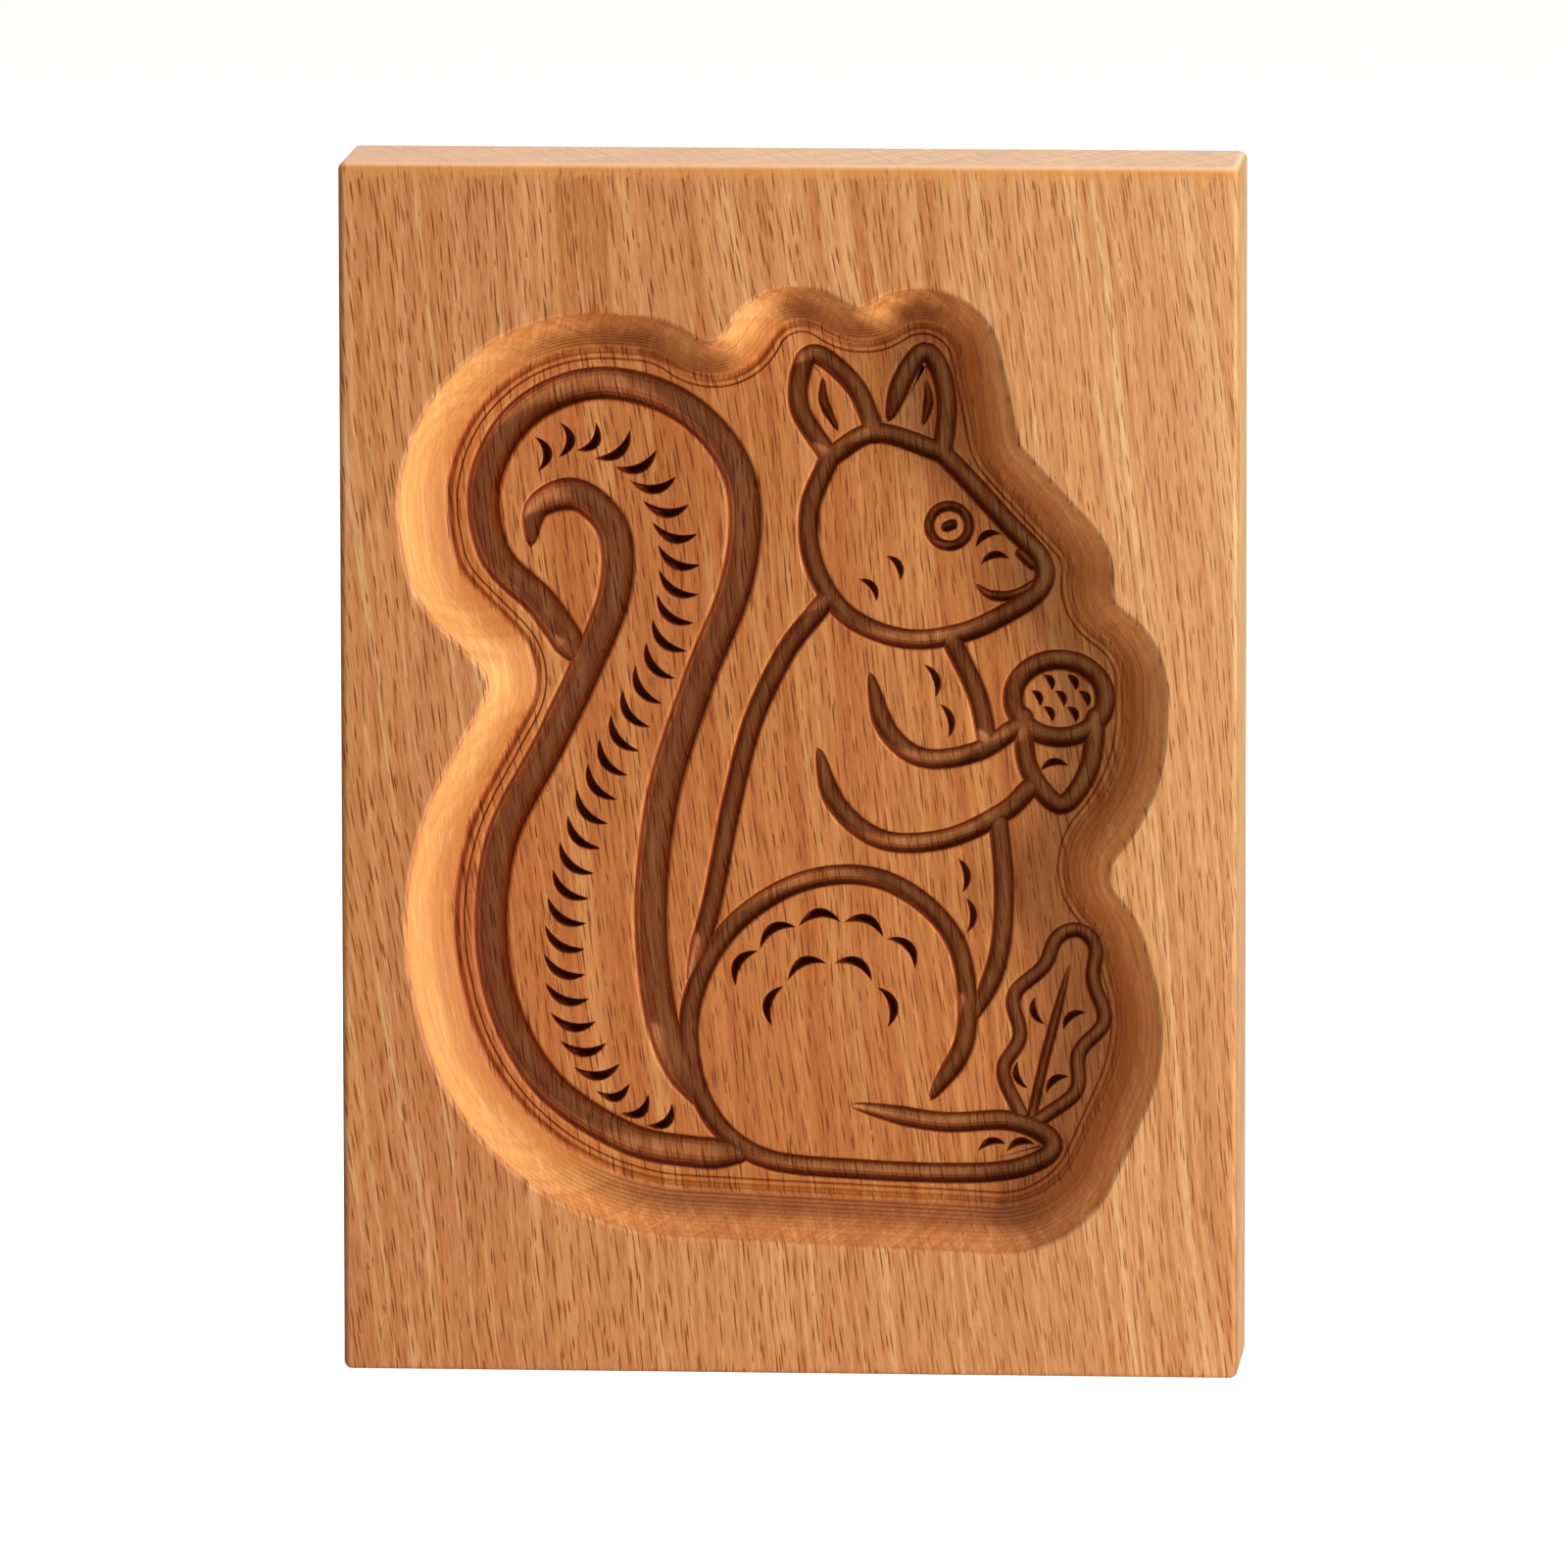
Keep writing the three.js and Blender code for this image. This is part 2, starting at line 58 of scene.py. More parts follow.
# %% Sizes in millimetres
BOARD_WIDTH, BOARD_LENGTH, BOARD_THICKNESS = 112.0, 152.0, 20.0
print(f"board: {BOARD_WIDTH} by {BOARD_LENGTH} by {BOARD_THICKNESS} mm")
BOARD_EDGE_RADIUS, BOARD_CORNER_RADIUS = 0.75, 1.0
HOLLOW_DEPTH, WALL_LEAN, WALL_COVE, RIM_EASE = 8.0, 5.2, 0.5, 0.6
FOOT_CUT_DEPTH, FOOT_CUT_WIDTH = 0.35, 0.6
SECOND_CUT, SECOND_CUT_HALF_WIDTH = 1.15, 0.18
INNER_CORNER = 9.0
HAND_WAVES_PER_MM = 0.22

TAIL_TOOL = dict(width=4.4, depth=2.6, roundness=2.2, lip=0.4)
LINE_TOOL = dict(width=2.8, depth=2.2, roundness=2.2, lip=0.3)
LEAF_TOOL = dict(width=2.1, depth=1.7, roundness=2.2, lip=0.24)
FINE_TOOL = dict(width=1.5, depth=1.4, roundness=1.6, lip=0.16)
FUR_GOUGE = dict(width=1.35, depth=1.9, roundness=1.3, lip=0.14)
SMALL_GOUGE = dict(width=1.1, depth=1.4, roundness=1.3, lip=0.12)

FUR_CUT_LENGTH, FUR_CUT_PITCH, FUR_CUT_LEAN = 5.8, 3.5, 62.0
SMALL_CUT_LENGTH, CUP_CUT_LENGTH, CUT_BOW = 3.6, 2.2, 0.95
SHORT_CUTS_AT_ENDS, SHORTER_BY = 3, 0.25
CUT_END_SIZE, CUT_SWELL, CUT_FULLNESS = 0.06, 0.94, 0.8

# How finely lines are cut into steps, how far cutters reach above what they cut, and the thinnest
# that a groove's fading end gets, as a share of its full size
LINE_STEP = 0.6
CUTTER_ABOVE = 0.6
THINNEST_END = 0.08

# %% The floor's outline and the lines cut into it
# Each corner of the floor: x, y and the radius that rounds it, counter-clockwise
FLOOR_CORNERS = [
    (-36.5, -52.5, 30), (32.5, -55.5, 10.5), (42, -34, 19), (38.5, -21, 7),
    (31.5, -13, INNER_CORNER), (41.5, -0.5, 20), (41.5, 14, 7), (34, 19, INNER_CORNER),
    (35, 26, 4.5), (23.5, 38.5, INNER_CORNER), (19.5, 58.5, 5), (8.5, 51, INNER_CORNER),
    (-0.5, 57.5, 4.5), (-7, 44, INNER_CORNER), (-17, 51.5, 9), (-47.5, 53.5, 19.5),
    (-42, 24, 9.5), (-30, 12, INNER_CORNER), (-44.5, -14.5, 36),
]

# Each line: its points, then how long it takes to fade in and to fade out
TAIL_LINES = {
    "outer": ([(-5, -49.4), (-12.5, -49.4), (-21.7, -47.4), (-31.9, -39.9), (-37.6, -26.9),
               (-37, -11.1), (-30.5, 2.4), (-26, 12), (-22.5, 21), (-22.5, 29), (-27, 33.5),
               (-32, 32), (-33, 27)], 5, 9),
    "inner": ([(-26.6, 12.4), (-31.4, 19.6), (-37.4, 26), (-38.6, 35.3), (-33.6, 43.9),
               (-24.1, 47.6), (-13.5, 44.5), (-6.8, 36), (-6.8, 24), (-12, 10), (-16.6, -5),
               (-18, -21), (-16, -35), (-10.6, -44.5)], 3, 6),
}
BODY_LINES = {
    "back": ([(4, 20.5), (-1, 14), (-5.2, 5), (-8, -6), (-10.4, -18), (-13.2, -28)], 0, 5),
    "haunch_and_foot": ([(17, -42.5), (21.5, -34), (20, -22), (11.5, -14.8), (1, -15), (-8.5, -21.5),
                         (-13.2, -32), (-11.5, -43), (-4.5, -49.8), (9, -51.4), (24, -51.6),
                         (30.9, -49.9), (32.2, -47.3), (27, -45), (18, -45.2), (7, -43.2)], 5, 7),
    "throat": ([(19.5, 16), (22.8, 9), (24.3, 2.5)], 0, 0),
    "belly": ([(25.6, -7.5), (26.3, -16), (25.4, -25), (22, -33)], 0, 6),
    "arm_above": ([(9.5, 11.5), (11.5, 4.5), (16, 0.8), (22.5, 1.5), (27.9, 4.7)], 6, 0),
    "arm_below": ([(3, 2), (5.2, -5), (11, -9.6), (19, -9.4), (26.2, -6), (29.4, -3)], 6, 0),
    "head": ([(4.5, 38.5), (2, 32), (2.5, 25), (6.5, 18.8), (13.5, 15.8), (20.5, 16.4), (26.5, 19),
              (30.8, 22.2), (31, 25.8), (27, 30.2), (21.5, 36.2), (18.6, 39.2)], 0, 0),
    "crown": ([(4.5, 38.5), (10.2, 41.6), (18.6, 39.2)], 0, 0),
    "near_ear": ([(4.5, 38.5), (0.8, 44.6), (1.2, 50.2), (3.4, 51.2), (7.8, 47.2), (10.2, 41.6)], 0, 0),
    "far_ear": ([(11.8, 43), (13.8, 48.6), (16.4, 51.8), (18.5, 49.2), (19.2, 44.6), (18.6, 39.2)], 4, 0),
    "acorn": ([(28.7, 6), (29.4, -0.5), (33.4, -5), (36.9, -0.5), (37.8, 6)], 0, 0),
}
FINE_LINES = {
    "near_ear_fold": ([(5.6, 41.8), (3.8, 45.4), (3.7, 48.6)], 3, 3),
    "far_ear_fold": ([(16.2, 42.5), (16.9, 45.6), (16.6, 48.4)], 3, 3),
    "mouth": ([(30.6, 23), (27.6, 21.4), (24.6, 21.4), (22.6, 22.8)], 0, 3),
    "nose": ([(28.4, 26.6), (29.9, 25.2)], 0, 0),
    "pupil": ([(19.1, 29.9), (19.8, 30.2)], 0, 0),
    "leaf_rib": ([(29.6, -45.2), (31.2, -38), (33, -31), (34.6, -25)], 0, 8),
}
TAIL_MIDDLE = [(-15, -45.5), (-22.5, -41.5), (-28, -31.5), (-28.5, -19), (-25.5, -6.5), (-20.5, 5),
               (-15.5, 16), (-14.5, 28), (-19, 37.5), (-27, 41), (-34, 37.5)]

EYE_MIDDLE, EYE_RADIUS = (19.4, 30), 2.5
CUP_MIDDLE, CUP_WIDTH, CUP_HEIGHT = (33.2, 8.4), 11.6, 9.8
LEAF_BASE, LEAF_TIP, LEAF_HALF_WIDTH, LEAF_LOBES, LOBE_SHARE = (29.4, -45.2), (35.8, -20.8), 6.0, 3, 0.34
HAUNCH_MIDDLE = (4.5, -32.5)
HAUNCH_RINGS = {12.3: (44, 70, 96, 122, 148), 6.8: (15, 65, 115, 165)}
HAUNCH_STRETCH, CHEST_STRETCH = 0.9, 1.2
CUP_CUT_GAPS, CUP_CUT_TURN = (3, 2), -60

# Single cuts: x, y and the angle of each in degrees
CHEST_CUTS = [(17, 10.5, -70), (18.8, 5.5, -75), (20.8, -14, -82), (21.6, -19, -88), (20.6, -24.6, -96)]
FACE_AND_FOOT_CUTS = [(12.4, 24.6, -60), (9.2, 21.8, -50), (25.2, 25.6, 12), (24.4, 28.2, 28),
                      (32.6, -0.4, 10), (28.4, -48.4, 15), (24.8, -48.4, 15)]
# The pair of veins at each place along the leaf's rib, from there
LEAF_VEINS = [(2.4, 0.0, 38), (-2, 1.3, 110)]
VEINS_UP_RIB = 0.03
print("lines:", len(TAIL_LINES) + len(BODY_LINES) + len(FINE_LINES))

# %% [markdown]
# ## Steamed beech
#
# Beech is pale when cut, and steaming turns it to this warm pinkish tan. A flat-sawn face shows
# wide soft bands where it cuts the growth rings, and short dark flecks where it cuts the rays.
# A photograph of wood would show this too, but it would slide over the walls of the hollow. So the
# wood is a solid one: rings and rays are worked out at each point from where the tree's pith was,
# and every cut through it shows what such a cut would.
#
# Materials and Geometry Nodes are both trees of nodes. One small function adds every node below,
# with its settings and its links, so that a tree reads from top to bottom as it is wired.

# %% A node with its settings and links, and a colour
def add_node(tree, kind, inputs=None, **settings):
    """inputs maps a socket's name or number to a value, an output, or a node, for its first output."""
    node = tree.nodes.new(kind)
    for name, value in settings.items():
        setattr(node, name, value)
    for socket, value in (inputs or {}).items():
        if isinstance(value, bpy.types.Node):
            value = value.outputs[0]
        if isinstance(value, bpy.types.NodeSocket):
            tree.links.new(value, node.inputs[socket])
        else:
            node.inputs[socket].default_value = value
    return node


def linear(hex_colour):
    """A colour as written for the screen, turned into the linear values that shaders use."""
    parts = [int(hex_colour[i : i + 2], 16) / 255 for i in (1, 3, 5)]
    return (*[p / 12.92 if p <= 0.04045 else ((p + 0.055) / 1.055) ** 2.4 for p in parts], 1.0)


print("a light band of the beech in linear values:", [round(v, 3) for v in linear("#DDA468")])

# %% Places in the wood, and how a layer of tone is laid
beech = bpy.data.materials.new("steamed_beech_oiled")
beech.use_nodes = True
wood = beech.node_tree
wood.nodes.clear()

FACE_AT = -BOARD_THICKNESS / 2
FLOOR_AT = FACE_AT + HOLLOW_DEPTH
HALF_WIDTH, HALF_LENGTH = BOARD_WIDTH / 2, BOARD_LENGTH / 2

place = add_node(wood, "ShaderNodeTexCoord").outputs["Object"]
in_mm = add_node(wood, "ShaderNodeVectorMath", {0: place, 1: (1000, 1000, 1000)}, operation="MULTIPLY")
wood_x, depth, height = add_node(wood, "ShaderNodeSeparateXYZ", {0: in_mm}).outputs
above_middle = add_node(wood, "ShaderNodeMath", {0: height, 1: HALF_LENGTH}, operation="SUBTRACT")
from_middle = add_node(wood, "ShaderNodeMath", {0: wood_x}, operation="ABSOLUTE")
from_centre = add_node(wood, "ShaderNodeMath", {0: above_middle}, operation="ABSOLUTE")


def grain(place, size, detail=2.0, roughness=0.5):
    """Soft patches of a size in millimetres, as (across, inwards, along)."""
    stretched = add_node(wood, "ShaderNodeVectorMath", {0: place, 1: size}, operation="DIVIDE")
    return add_node(wood, "ShaderNodeTexNoise", {"Vector": stretched, "Scale": 1.0, "Detail": detail,
                    "Roughness": roughness})


def share(value, start, end, least=0.0, most=1.0, where=()):
    """A soft step of a value, from least at start to most at end, times every mask in where."""
    amount = add_node(wood, "ShaderNodeMapRange", {"Value": value, "From Min": start, "From Max": end,
                      "To Min": least, "To Max": most}, interpolation_type="SMOOTHSTEP")
    for mask in where:
        amount = add_node(wood, "ShaderNodeMath", {0: amount, 1: mask}, operation="MULTIPLY")
    return amount


def layer(tone, colour, blend, *step, **limits):
    """Lays a colour over the tone. How much of it shows is a share, as above."""
    laid = add_node(wood, "ShaderNodeMix", {0: share(*step, **limits), 6: tone, 7: linear(colour)},
                    data_type="RGBA", blend_type=blend)
    return laid.outputs[2]


print("wood nodes for places in the board:", len(wood.nodes))

# %% Growth rings
PITH = (-110.0, 80.0, 0.0)
RING_WIDTH, RING_HEIGHT = 3.1, 250.0
BAND_LEAN, BAND_LEAN_CHANGE = 0.085, 0.0008
WANDER_WIDTH, WANDER_SIZE = 6.0, (33.33, 33.33, 83.33)
PATCH_SIZE = (16.67, 50.0, 71.43)
BAND_TONES = [(0.30, "#BB763F"), (0.40, "#CA8A51"), (0.48, "#DDA468"), (0.55, "#CB8D55"),
              (0.62, "#E5B178"), (0.72, "#CC8C52")]

wander = grain(in_mm, WANDER_SIZE)
to_a_side = add_node(wood, "ShaderNodeMath", {0: wander, 1: 0.5}, operation="SUBTRACT")


def leaning(at_middle, change):
    """The place across the board, along a grain that wanders. Its lean changes from left to right."""
    lean = add_node(wood, "ShaderNodeMath", {0: wood_x, 1: change, 2: at_middle}, operation="MULTIPLY_ADD")
    leant = add_node(wood, "ShaderNodeMath", {0: above_middle, 1: lean, 2: wood_x}, operation="MULTIPLY_ADD")
    return add_node(wood, "ShaderNodeMath", {0: to_a_side, 1: WANDER_WIDTH, 2: leant},
                    operation="MULTIPLY_ADD")


# Distance from the pith counts the rings, and their tone changes from one to the next
grain_x = leaning(BAND_LEAN, BAND_LEAN_CHANGE)
on_end = add_node(wood, "ShaderNodeCombineXYZ", {0: grain_x, 1: depth})
radius = add_node(wood, "ShaderNodeVectorMath", {0: on_end, 1: PITH}, operation="DISTANCE").outputs["Value"]
along_ring = add_node(wood, "ShaderNodeCombineXYZ", {0: radius, 2: height})
bands = grain(along_ring, (RING_WIDTH, 1.0, RING_HEIGHT), 2.0, 0.6)
ramp = add_node(wood, "ShaderNodeValToRGB", {"Fac": bands})
stops = ramp.color_ramp.elements
while len(stops) < len(BAND_TONES):
    stops.new(0.5)
for stop, (position, colour) in zip(stops, BAND_TONES):
    stop.position = position
    stop.color = linear(colour)
tone = ramp.outputs["Color"]

# Latewood: a thin darker line at the end of each year's ring
years = add_node(wood, "ShaderNodeMath", {0: radius, 1: RING_WIDTH}, operation="DIVIDE")
season = add_node(wood, "ShaderNodeMath", {0: years}, operation="FRACT")
latewood = share(season, 0.70, 0.94, where=[share(season, 1.0, 0.96)])
tone = layer(tone, "#A8622C", "MIX", grain_x, -20, 45, 0.14, 0.36, where=[latewood])

# A soft change of tone over the whole board, pinkish here and there. Across the board it is redder and
# darker on the left and paler on the right. This is partly the wood's own tone and partly painted light:
# warmer bounced light on the left, and a paler sheen on the right, nearer the lamp
band_place = add_node(wood, "ShaderNodeCombineXYZ", {0: grain_x, 1: depth, 2: height})
tone = layer(tone, "#C98859", "MIX", grain(band_place, PATCH_SIZE, 1.0), 0.45, 0.68, most=0.5)
tone = layer(tone, "#F6E3DA", "MULTIPLY", grain_x, 62, -56)
# A paler strip near the right edge: painted sheen from the lamp, and partly the wood's own tone
tone = layer(tone, "#E3B285", "MIX", grain_x, 40, 58, most=0.15)
print("wood nodes for the rings:", len(wood.nodes))

# %% Streaks, fibres and rays
# Streaks are about 1 mm wide and a hand long. Real fibres are ten times finer than these, which are
# as fine as shows. Rays are slim dark spindles, 2 to 5 mm tall, some of them faint, that run inwards
FIBRE_LEAN, FIBRE_LEAN_CHANGE = 0.125, -0.0002
STREAK_SIZE = (1.25, 3.333, 71.43)
FIBRE_SIZE = (0.1818, 0.6667, 4.167)
RAY_SPACING, RAY_LENGTH, RAY_HEIGHT = 1.0, 35.0, 5.2
RAY_SLANT, RAY_SHIFT_UP = 0.35, 1.7

fibre_x = leaning(FIBRE_LEAN, FIBRE_LEAN_CHANGE)
inwards = add_node(wood, "ShaderNodeMath", {0: depth, 1: FACE_AT}, operation="SUBTRACT")
across = add_node(wood, "ShaderNodeMath", {0: inwards, 1: RAY_SLANT, 2: fibre_x}, operation="MULTIPLY_ADD")
fibre_place = add_node(wood, "ShaderNodeCombineXYZ", {0: across, 1: depth, 2: height})
streaks = grain(fibre_place, STREAK_SIZE, 2.0, 0.6)
tone = layer(tone, "#BC763F", "MIX", streaks, 0.50, 0.68, most=0.62)
tone = layer(tone, "#E9B980", "MIX", streaks, 0.46, 0.32, most=0.5)
fibres = grain(fibre_place, FIBRE_SIZE, 3.0, 0.7)
tone = layer(tone, "#A45C1C", "MIX", fibres, 0.46, 0.70, most=0.4)
tone = layer(tone, "#F0C48E", "MIX", fibres, 0.48, 0.32, most=0.3)


def ray_flecks(shift, half_width, half_height):
    """One spindle in each cell of wood, at a chance place and of a chance height and strength."""
    moved = add_node(wood, "ShaderNodeVectorMath", {0: fibre_place, 1: (shift, 0, shift * RAY_SHIFT_UP)},
                     operation="ADD")
    cells = add_node(wood, "ShaderNodeVectorMath", {0: moved, 1: (RAY_SPACING, RAY_LENGTH, RAY_HEIGHT)},
                     operation="DIVIDE")
    cell = add_node(wood, "ShaderNodeTexVoronoi", {"Vector": cells, "Scale": 1.0, "Randomness": 1.0},
                    voronoi_dimensions="3D", feature="F1")
    offset = add_node(wood, "ShaderNodeVectorMath", {0: cells, 1: cell.outputs["Position"]},
                      operation="SUBTRACT")
    off = add_node(wood, "ShaderNodeSeparateXYZ", {0: offset}).outputs
    chance = add_node(wood, "ShaderNodeSeparateColor", {0: cell.outputs["Color"]}).outputs
    tall = add_node(wood, "ShaderNodeMath", {0: chance[0], 1: half_height, 2: half_height * 0.5},
                    operation="MULTIPLY_ADD")
    aside = add_node(wood, "ShaderNodeMath", {0: off[0], 1: RAY_SPACING / half_width}, operation="MULTIPLY")
    above = add_node(wood, "ShaderNodeMath", {0: off[2], 1: RAY_HEIGHT}, operation="MULTIPLY")
    along = add_node(wood, "ShaderNodeMath", {0: above, 1: tall}, operation="DIVIDE")
    away = add_node(wood, "ShaderNodeCombineXYZ", {0: aside, 1: along})
    spindle = add_node(wood, "ShaderNodeVectorMath", {0: away, 1: away}, operation="DOT_PRODUCT")
    faint = share(chance[1], 0.0, 0.9, 0.2, 1.0)
    return share(spindle.outputs["Value"], 1.3, 0.0, where=[faint])


rays = add_node(wood, "ShaderNodeMath", {0: ray_flecks(0.0, 0.13, 2.1), 1: ray_flecks(37.3, 0.115, 1.6)},
                operation="MAXIMUM")
print("wood nodes with fibres and rays:", len(wood.nodes))

# %% [markdown]
# ## What the cutter left, and painted light and shade
#
# A cutter leaves wood paler or darker by the way it meets the fibres: along them it shaves clean,
# across them it tears and the oil soaks in. This could be painted on with a map, which would have to
# be painted again for every other drawing. Instead each face of the board knows how steep it is and
# how much it cuts across the grain, and how deep it lies tells floor, wall and groove apart. The same
# masks also lay painted light and shade: a painted glow on the wall that faces the lamp, and painted
# shade on the floor, at the wall's foot and in the grooves.

# %% Masks for the hollow, its wall and its grooves
inside = share(depth, FLOOR_AT + 6, FLOOR_AT + 4, where=[
    share(from_middle, HALF_WIDTH - 1.6, HALF_WIDTH - 2.6),
    share(from_centre, HALF_LENGTH - 1.6, HALF_LENGTH - 2.6)])
carved = share(depth, FACE_AT + 0.05, FACE_AT + 0.7, where=[inside])
under_rim = share(depth, FACE_AT + 0.1, FACE_AT + 0.8, where=[inside])
on_wall = share(depth, FLOOR_AT, FLOOR_AT - 0.4, where=[under_rim])
flank = share(depth, FLOOR_AT, FLOOR_AT + 0.8, where=[inside])
steepness = add_node(wood, "ShaderNodeAttribute", attribute_name="steepness").outputs["Fac"]
across_grain = add_node(wood, "ShaderNodeAttribute", attribute_name="across_grain").outputs["Fac"]

# The rays show less on the hollow's wall and on the board's sides
off_wall = add_node(wood, "ShaderNodeMath", {0: on_wall, 1: -0.65, 2: 1.0}, operation="MULTIPLY_ADD")
flecks = add_node(wood, "ShaderNodeMath", {0: rays, 1: off_wall}, operation="MULTIPLY")
off_side = share(from_middle, HALF_WIDTH - 0.5, HALF_WIDTH - 0.1, 1.0, 0.55)
tone = layer(tone, "#7E3A00", "MIX", wood_x, -20, 50, 1.0, 0.75, where=[flecks, off_side])
print("wood nodes with the masks:", len(wood.nodes))

# %% Floor and wall of the hollow
# The floor is darker and more saturated than the face: painted shade of the hollow, with less of it at
# the bottom of a groove
level_bottom = share(steepness, 0.12, 0.62, 1.0, 0.0, where=[flank])
floor_shade_share = add_node(wood, "ShaderNodeMath", {0: level_bottom, 1: -0.35, 2: 1.0}, operation="MULTIPLY_ADD")
floor_with_painted_shade = add_node(wood, "ShaderNodeMix", {0: floor_shade_share, 6: tone, 7: linear("#EDD5B6")},
                      data_type="RGBA", blend_type="MULTIPLY").outputs[2]

# Where the wall lies along the grain it takes a painted glow: yellow on the left, where it faces the
# lamp, and orange on the right, where it is in shade. Where it cuts across the grain it is browner.
# Towards its foot it is darker: painted shade
painted_wall_glow = layer(linear("#F5BE66"), "#F8A452", "MIX", wood_x, -15, 20)
along_wall = add_node(wood, "ShaderNodeMix", {0: 0.36, 6: tone, 7: painted_wall_glow}, data_type="RGBA").outputs[2]
across_wall = add_node(wood, "ShaderNodeMix", {0: 1.0, 6: tone, 7: linear("#FCEAD0")},
                       data_type="RGBA", blend_type="MULTIPLY").outputs[2]
# The across-grain wall is darker towards its foot: painted shade
across_wall = layer(across_wall, "#A5845C", "MULTIPLY", depth, FACE_AT + 2.6, FLOOR_AT - 0.6)
wall_tone = add_node(wood, "ShaderNodeMix", {0: share(across_grain, 0.63, 0.88), 6: along_wall,
                     7: across_wall}, data_type="RGBA").outputs[2]
# All of the wall is darker towards its foot: painted shade in the corner
wall_tone = layer(wall_tone, "#D6BCA2", "MULTIPLY", depth, FACE_AT + 2.4, FLOOR_AT - 0.2)

# Each pass of the cutter left a faint line along the wall, faintest on the left and across the grain
PASS_SIZE = (0.4167, 33.33, 33.33)
by_level = add_node(wood, "ShaderNodeCombineXYZ", {0: depth, 1: height, 2: wood_x})
passes = share(grain(by_level, PASS_SIZE, 3.0, 0.6), 0.46, 0.68, where=[share(across_grain, 0.9, 0.6, 0.4)])
wall_tone = layer(wall_tone, "#CFAE90", "MULTIPLY", wood_x, -35, 15, 0.3, 0.6, where=[passes])

cut_tone = add_node(wood, "ShaderNodeMix", {0: on_wall, 6: floor_with_painted_shade, 7: wall_tone}, data_type="RGBA")
tone = add_node(wood, "ShaderNodeMix", {0: carved, 6: tone, 7: cut_tone.outputs[2]},
                data_type="RGBA").outputs[2]

# The grooves' lips are tinted more orange. Their steep flanks are darker: partly the cutter's scorch,
# partly painted shade in the narrow grooves
at_lip = share(depth, FLOOR_AT - 0.05, FLOOR_AT + 0.1, where=[inside])
tone = layer(tone, "#F4E2CC", "MULTIPLY", steepness, 0.02, 0.2, where=[at_lip])
tone = layer(tone, "#AE875E", "MULTIPLY", steepness, 0.12, 0.62, where=[flank])
# Grooves that run across the grain are darker still: painted shade, as less light reaches into them
tone = layer(tone, "#B99B7C", "MULTIPLY", depth, FLOOR_AT, FLOOR_AT + 0.8, where=[inside, across_grain])
# All that lies deeper in a groove is a little darker: painted shade, and partly the cutter's scorch
tone = layer(tone, "#BFA898", "MULTIPLY", depth, FLOOR_AT, FLOOR_AT + 0.8, most=0.3, where=[inside])
print("wood nodes with the cuts:", len(wood.nodes))

# %% Oil, ends, sides and the shader
# Oil drawn in through the end grain left a ragged orange band under the top edge
OIL_TONGUE_SIZE, OIL_REACH, OIL_RAGGED = (0.625, 1.0, 2.0), 1.9, -7.0
on_face = add_node(wood, "ShaderNodeCombineXYZ", {0: wood_x, 2: height})
drawn = grain(on_face, OIL_TONGUE_SIZE, 3.0, 0.7)
ragged = add_node(wood, "ShaderNodeMath", {0: drawn, 1: OIL_RAGGED, 2: BOARD_LENGTH + OIL_REACH},
                  operation="MULTIPLY_ADD")
past_it = add_node(wood, "ShaderNodeMath", {0: height, 1: ragged}, operation="SUBTRACT")
oiled = share(past_it, -0.3, 0.3)
tone = layer(tone, "#DB9347", "MIX", depth, FACE_AT + 1.1, FACE_AT + 0.3, most=0.75, where=[oiled])

# The top end is painted paler: painted light and sheen from the lamp above. The sawn sides are a little
# browner than the face
tone = layer(tone, "#F0D0B2", "MIX", height, BOARD_LENGTH - 0.75, BOARD_LENGTH - 0.2, most=0.5)
tone = layer(tone, "#C5C9AB", "MULTIPLY", from_middle, HALF_WIDTH - 0.5, HALF_WIDTH - 0.1)

# Planed, sanded and thinly oiled wood is satin: it has a soft sheen, and no mirror image. Sanding
# leaves the fibres a little proud and the rays a little sunk
sunk = add_node(wood, "ShaderNodeMath", {0: flecks, 1: 0.5}, operation="MULTIPLY")
proud = add_node(wood, "ShaderNodeMath", {0: fibres, 1: 0.4}, operation="MULTIPLY")
relief = add_node(wood, "ShaderNodeMath", {0: proud, 1: sunk}, operation="SUBTRACT")
bump = add_node(wood, "ShaderNodeBump", {"Height": relief, "Strength": 0.3, "Distance": 0.0001})
shader = add_node(wood, "ShaderNodeBsdfPrincipled", {"Base Color": tone, "Roughness": 0.6,
                  "IOR": 1.45, "Specular IOR Level": 0.3, "Normal": bump})
add_node(wood, "ShaderNodeOutputMaterial", {"Surface": shader})
print("wood nodes in all:", len(wood.nodes))

# %% [markdown]
# ## The blank
#
# The blank is sawn, planed and its edges are eased with sandpaper. A cube with a Bevel modifier
# would be quick, but its corners and its edges would share one rounding, and sandpaper takes more
# off a corner. So rounded outlines are stacked here, each drawn in a little more near the faces.

# %% A mesh from points, and one that is closed
def mesh_object(name, points, edges=(), faces=()):
    mesh = bpy.data.meshes.new(name)
    mesh.from_pydata([(*p, 0.0) if len(p) == 2 else tuple(p) for p in points], edges, faces)
    obj = bpy.data.objects.new(name, mesh)
    bpy.context.scene.collection.objects.link(obj)
    return obj


def closed_outward(obj):
    """Joins doubles, caps open rims and turns all faces outward. Returns the volume."""
    bm = bmesh.new()
    bm.from_mesh(obj.data)
    bmesh.ops.remove_doubles(bm, verts=bm.verts, dist=1e-5)
    rims = [e for e in bm.edges if e.is_boundary]
    if rims:
        bmesh.ops.holes_fill(bm, edges=rims, sides=0)
    bmesh.ops.recalc_face_normals(bm, faces=bm.faces)
    volume = bm.calc_volume(signed=True)
    if volume < 0:
        bmesh.ops.reverse_faces(bm, faces=bm.faces)
    bm.to_mesh(obj.data)
    bm.free()
    return abs(volume)


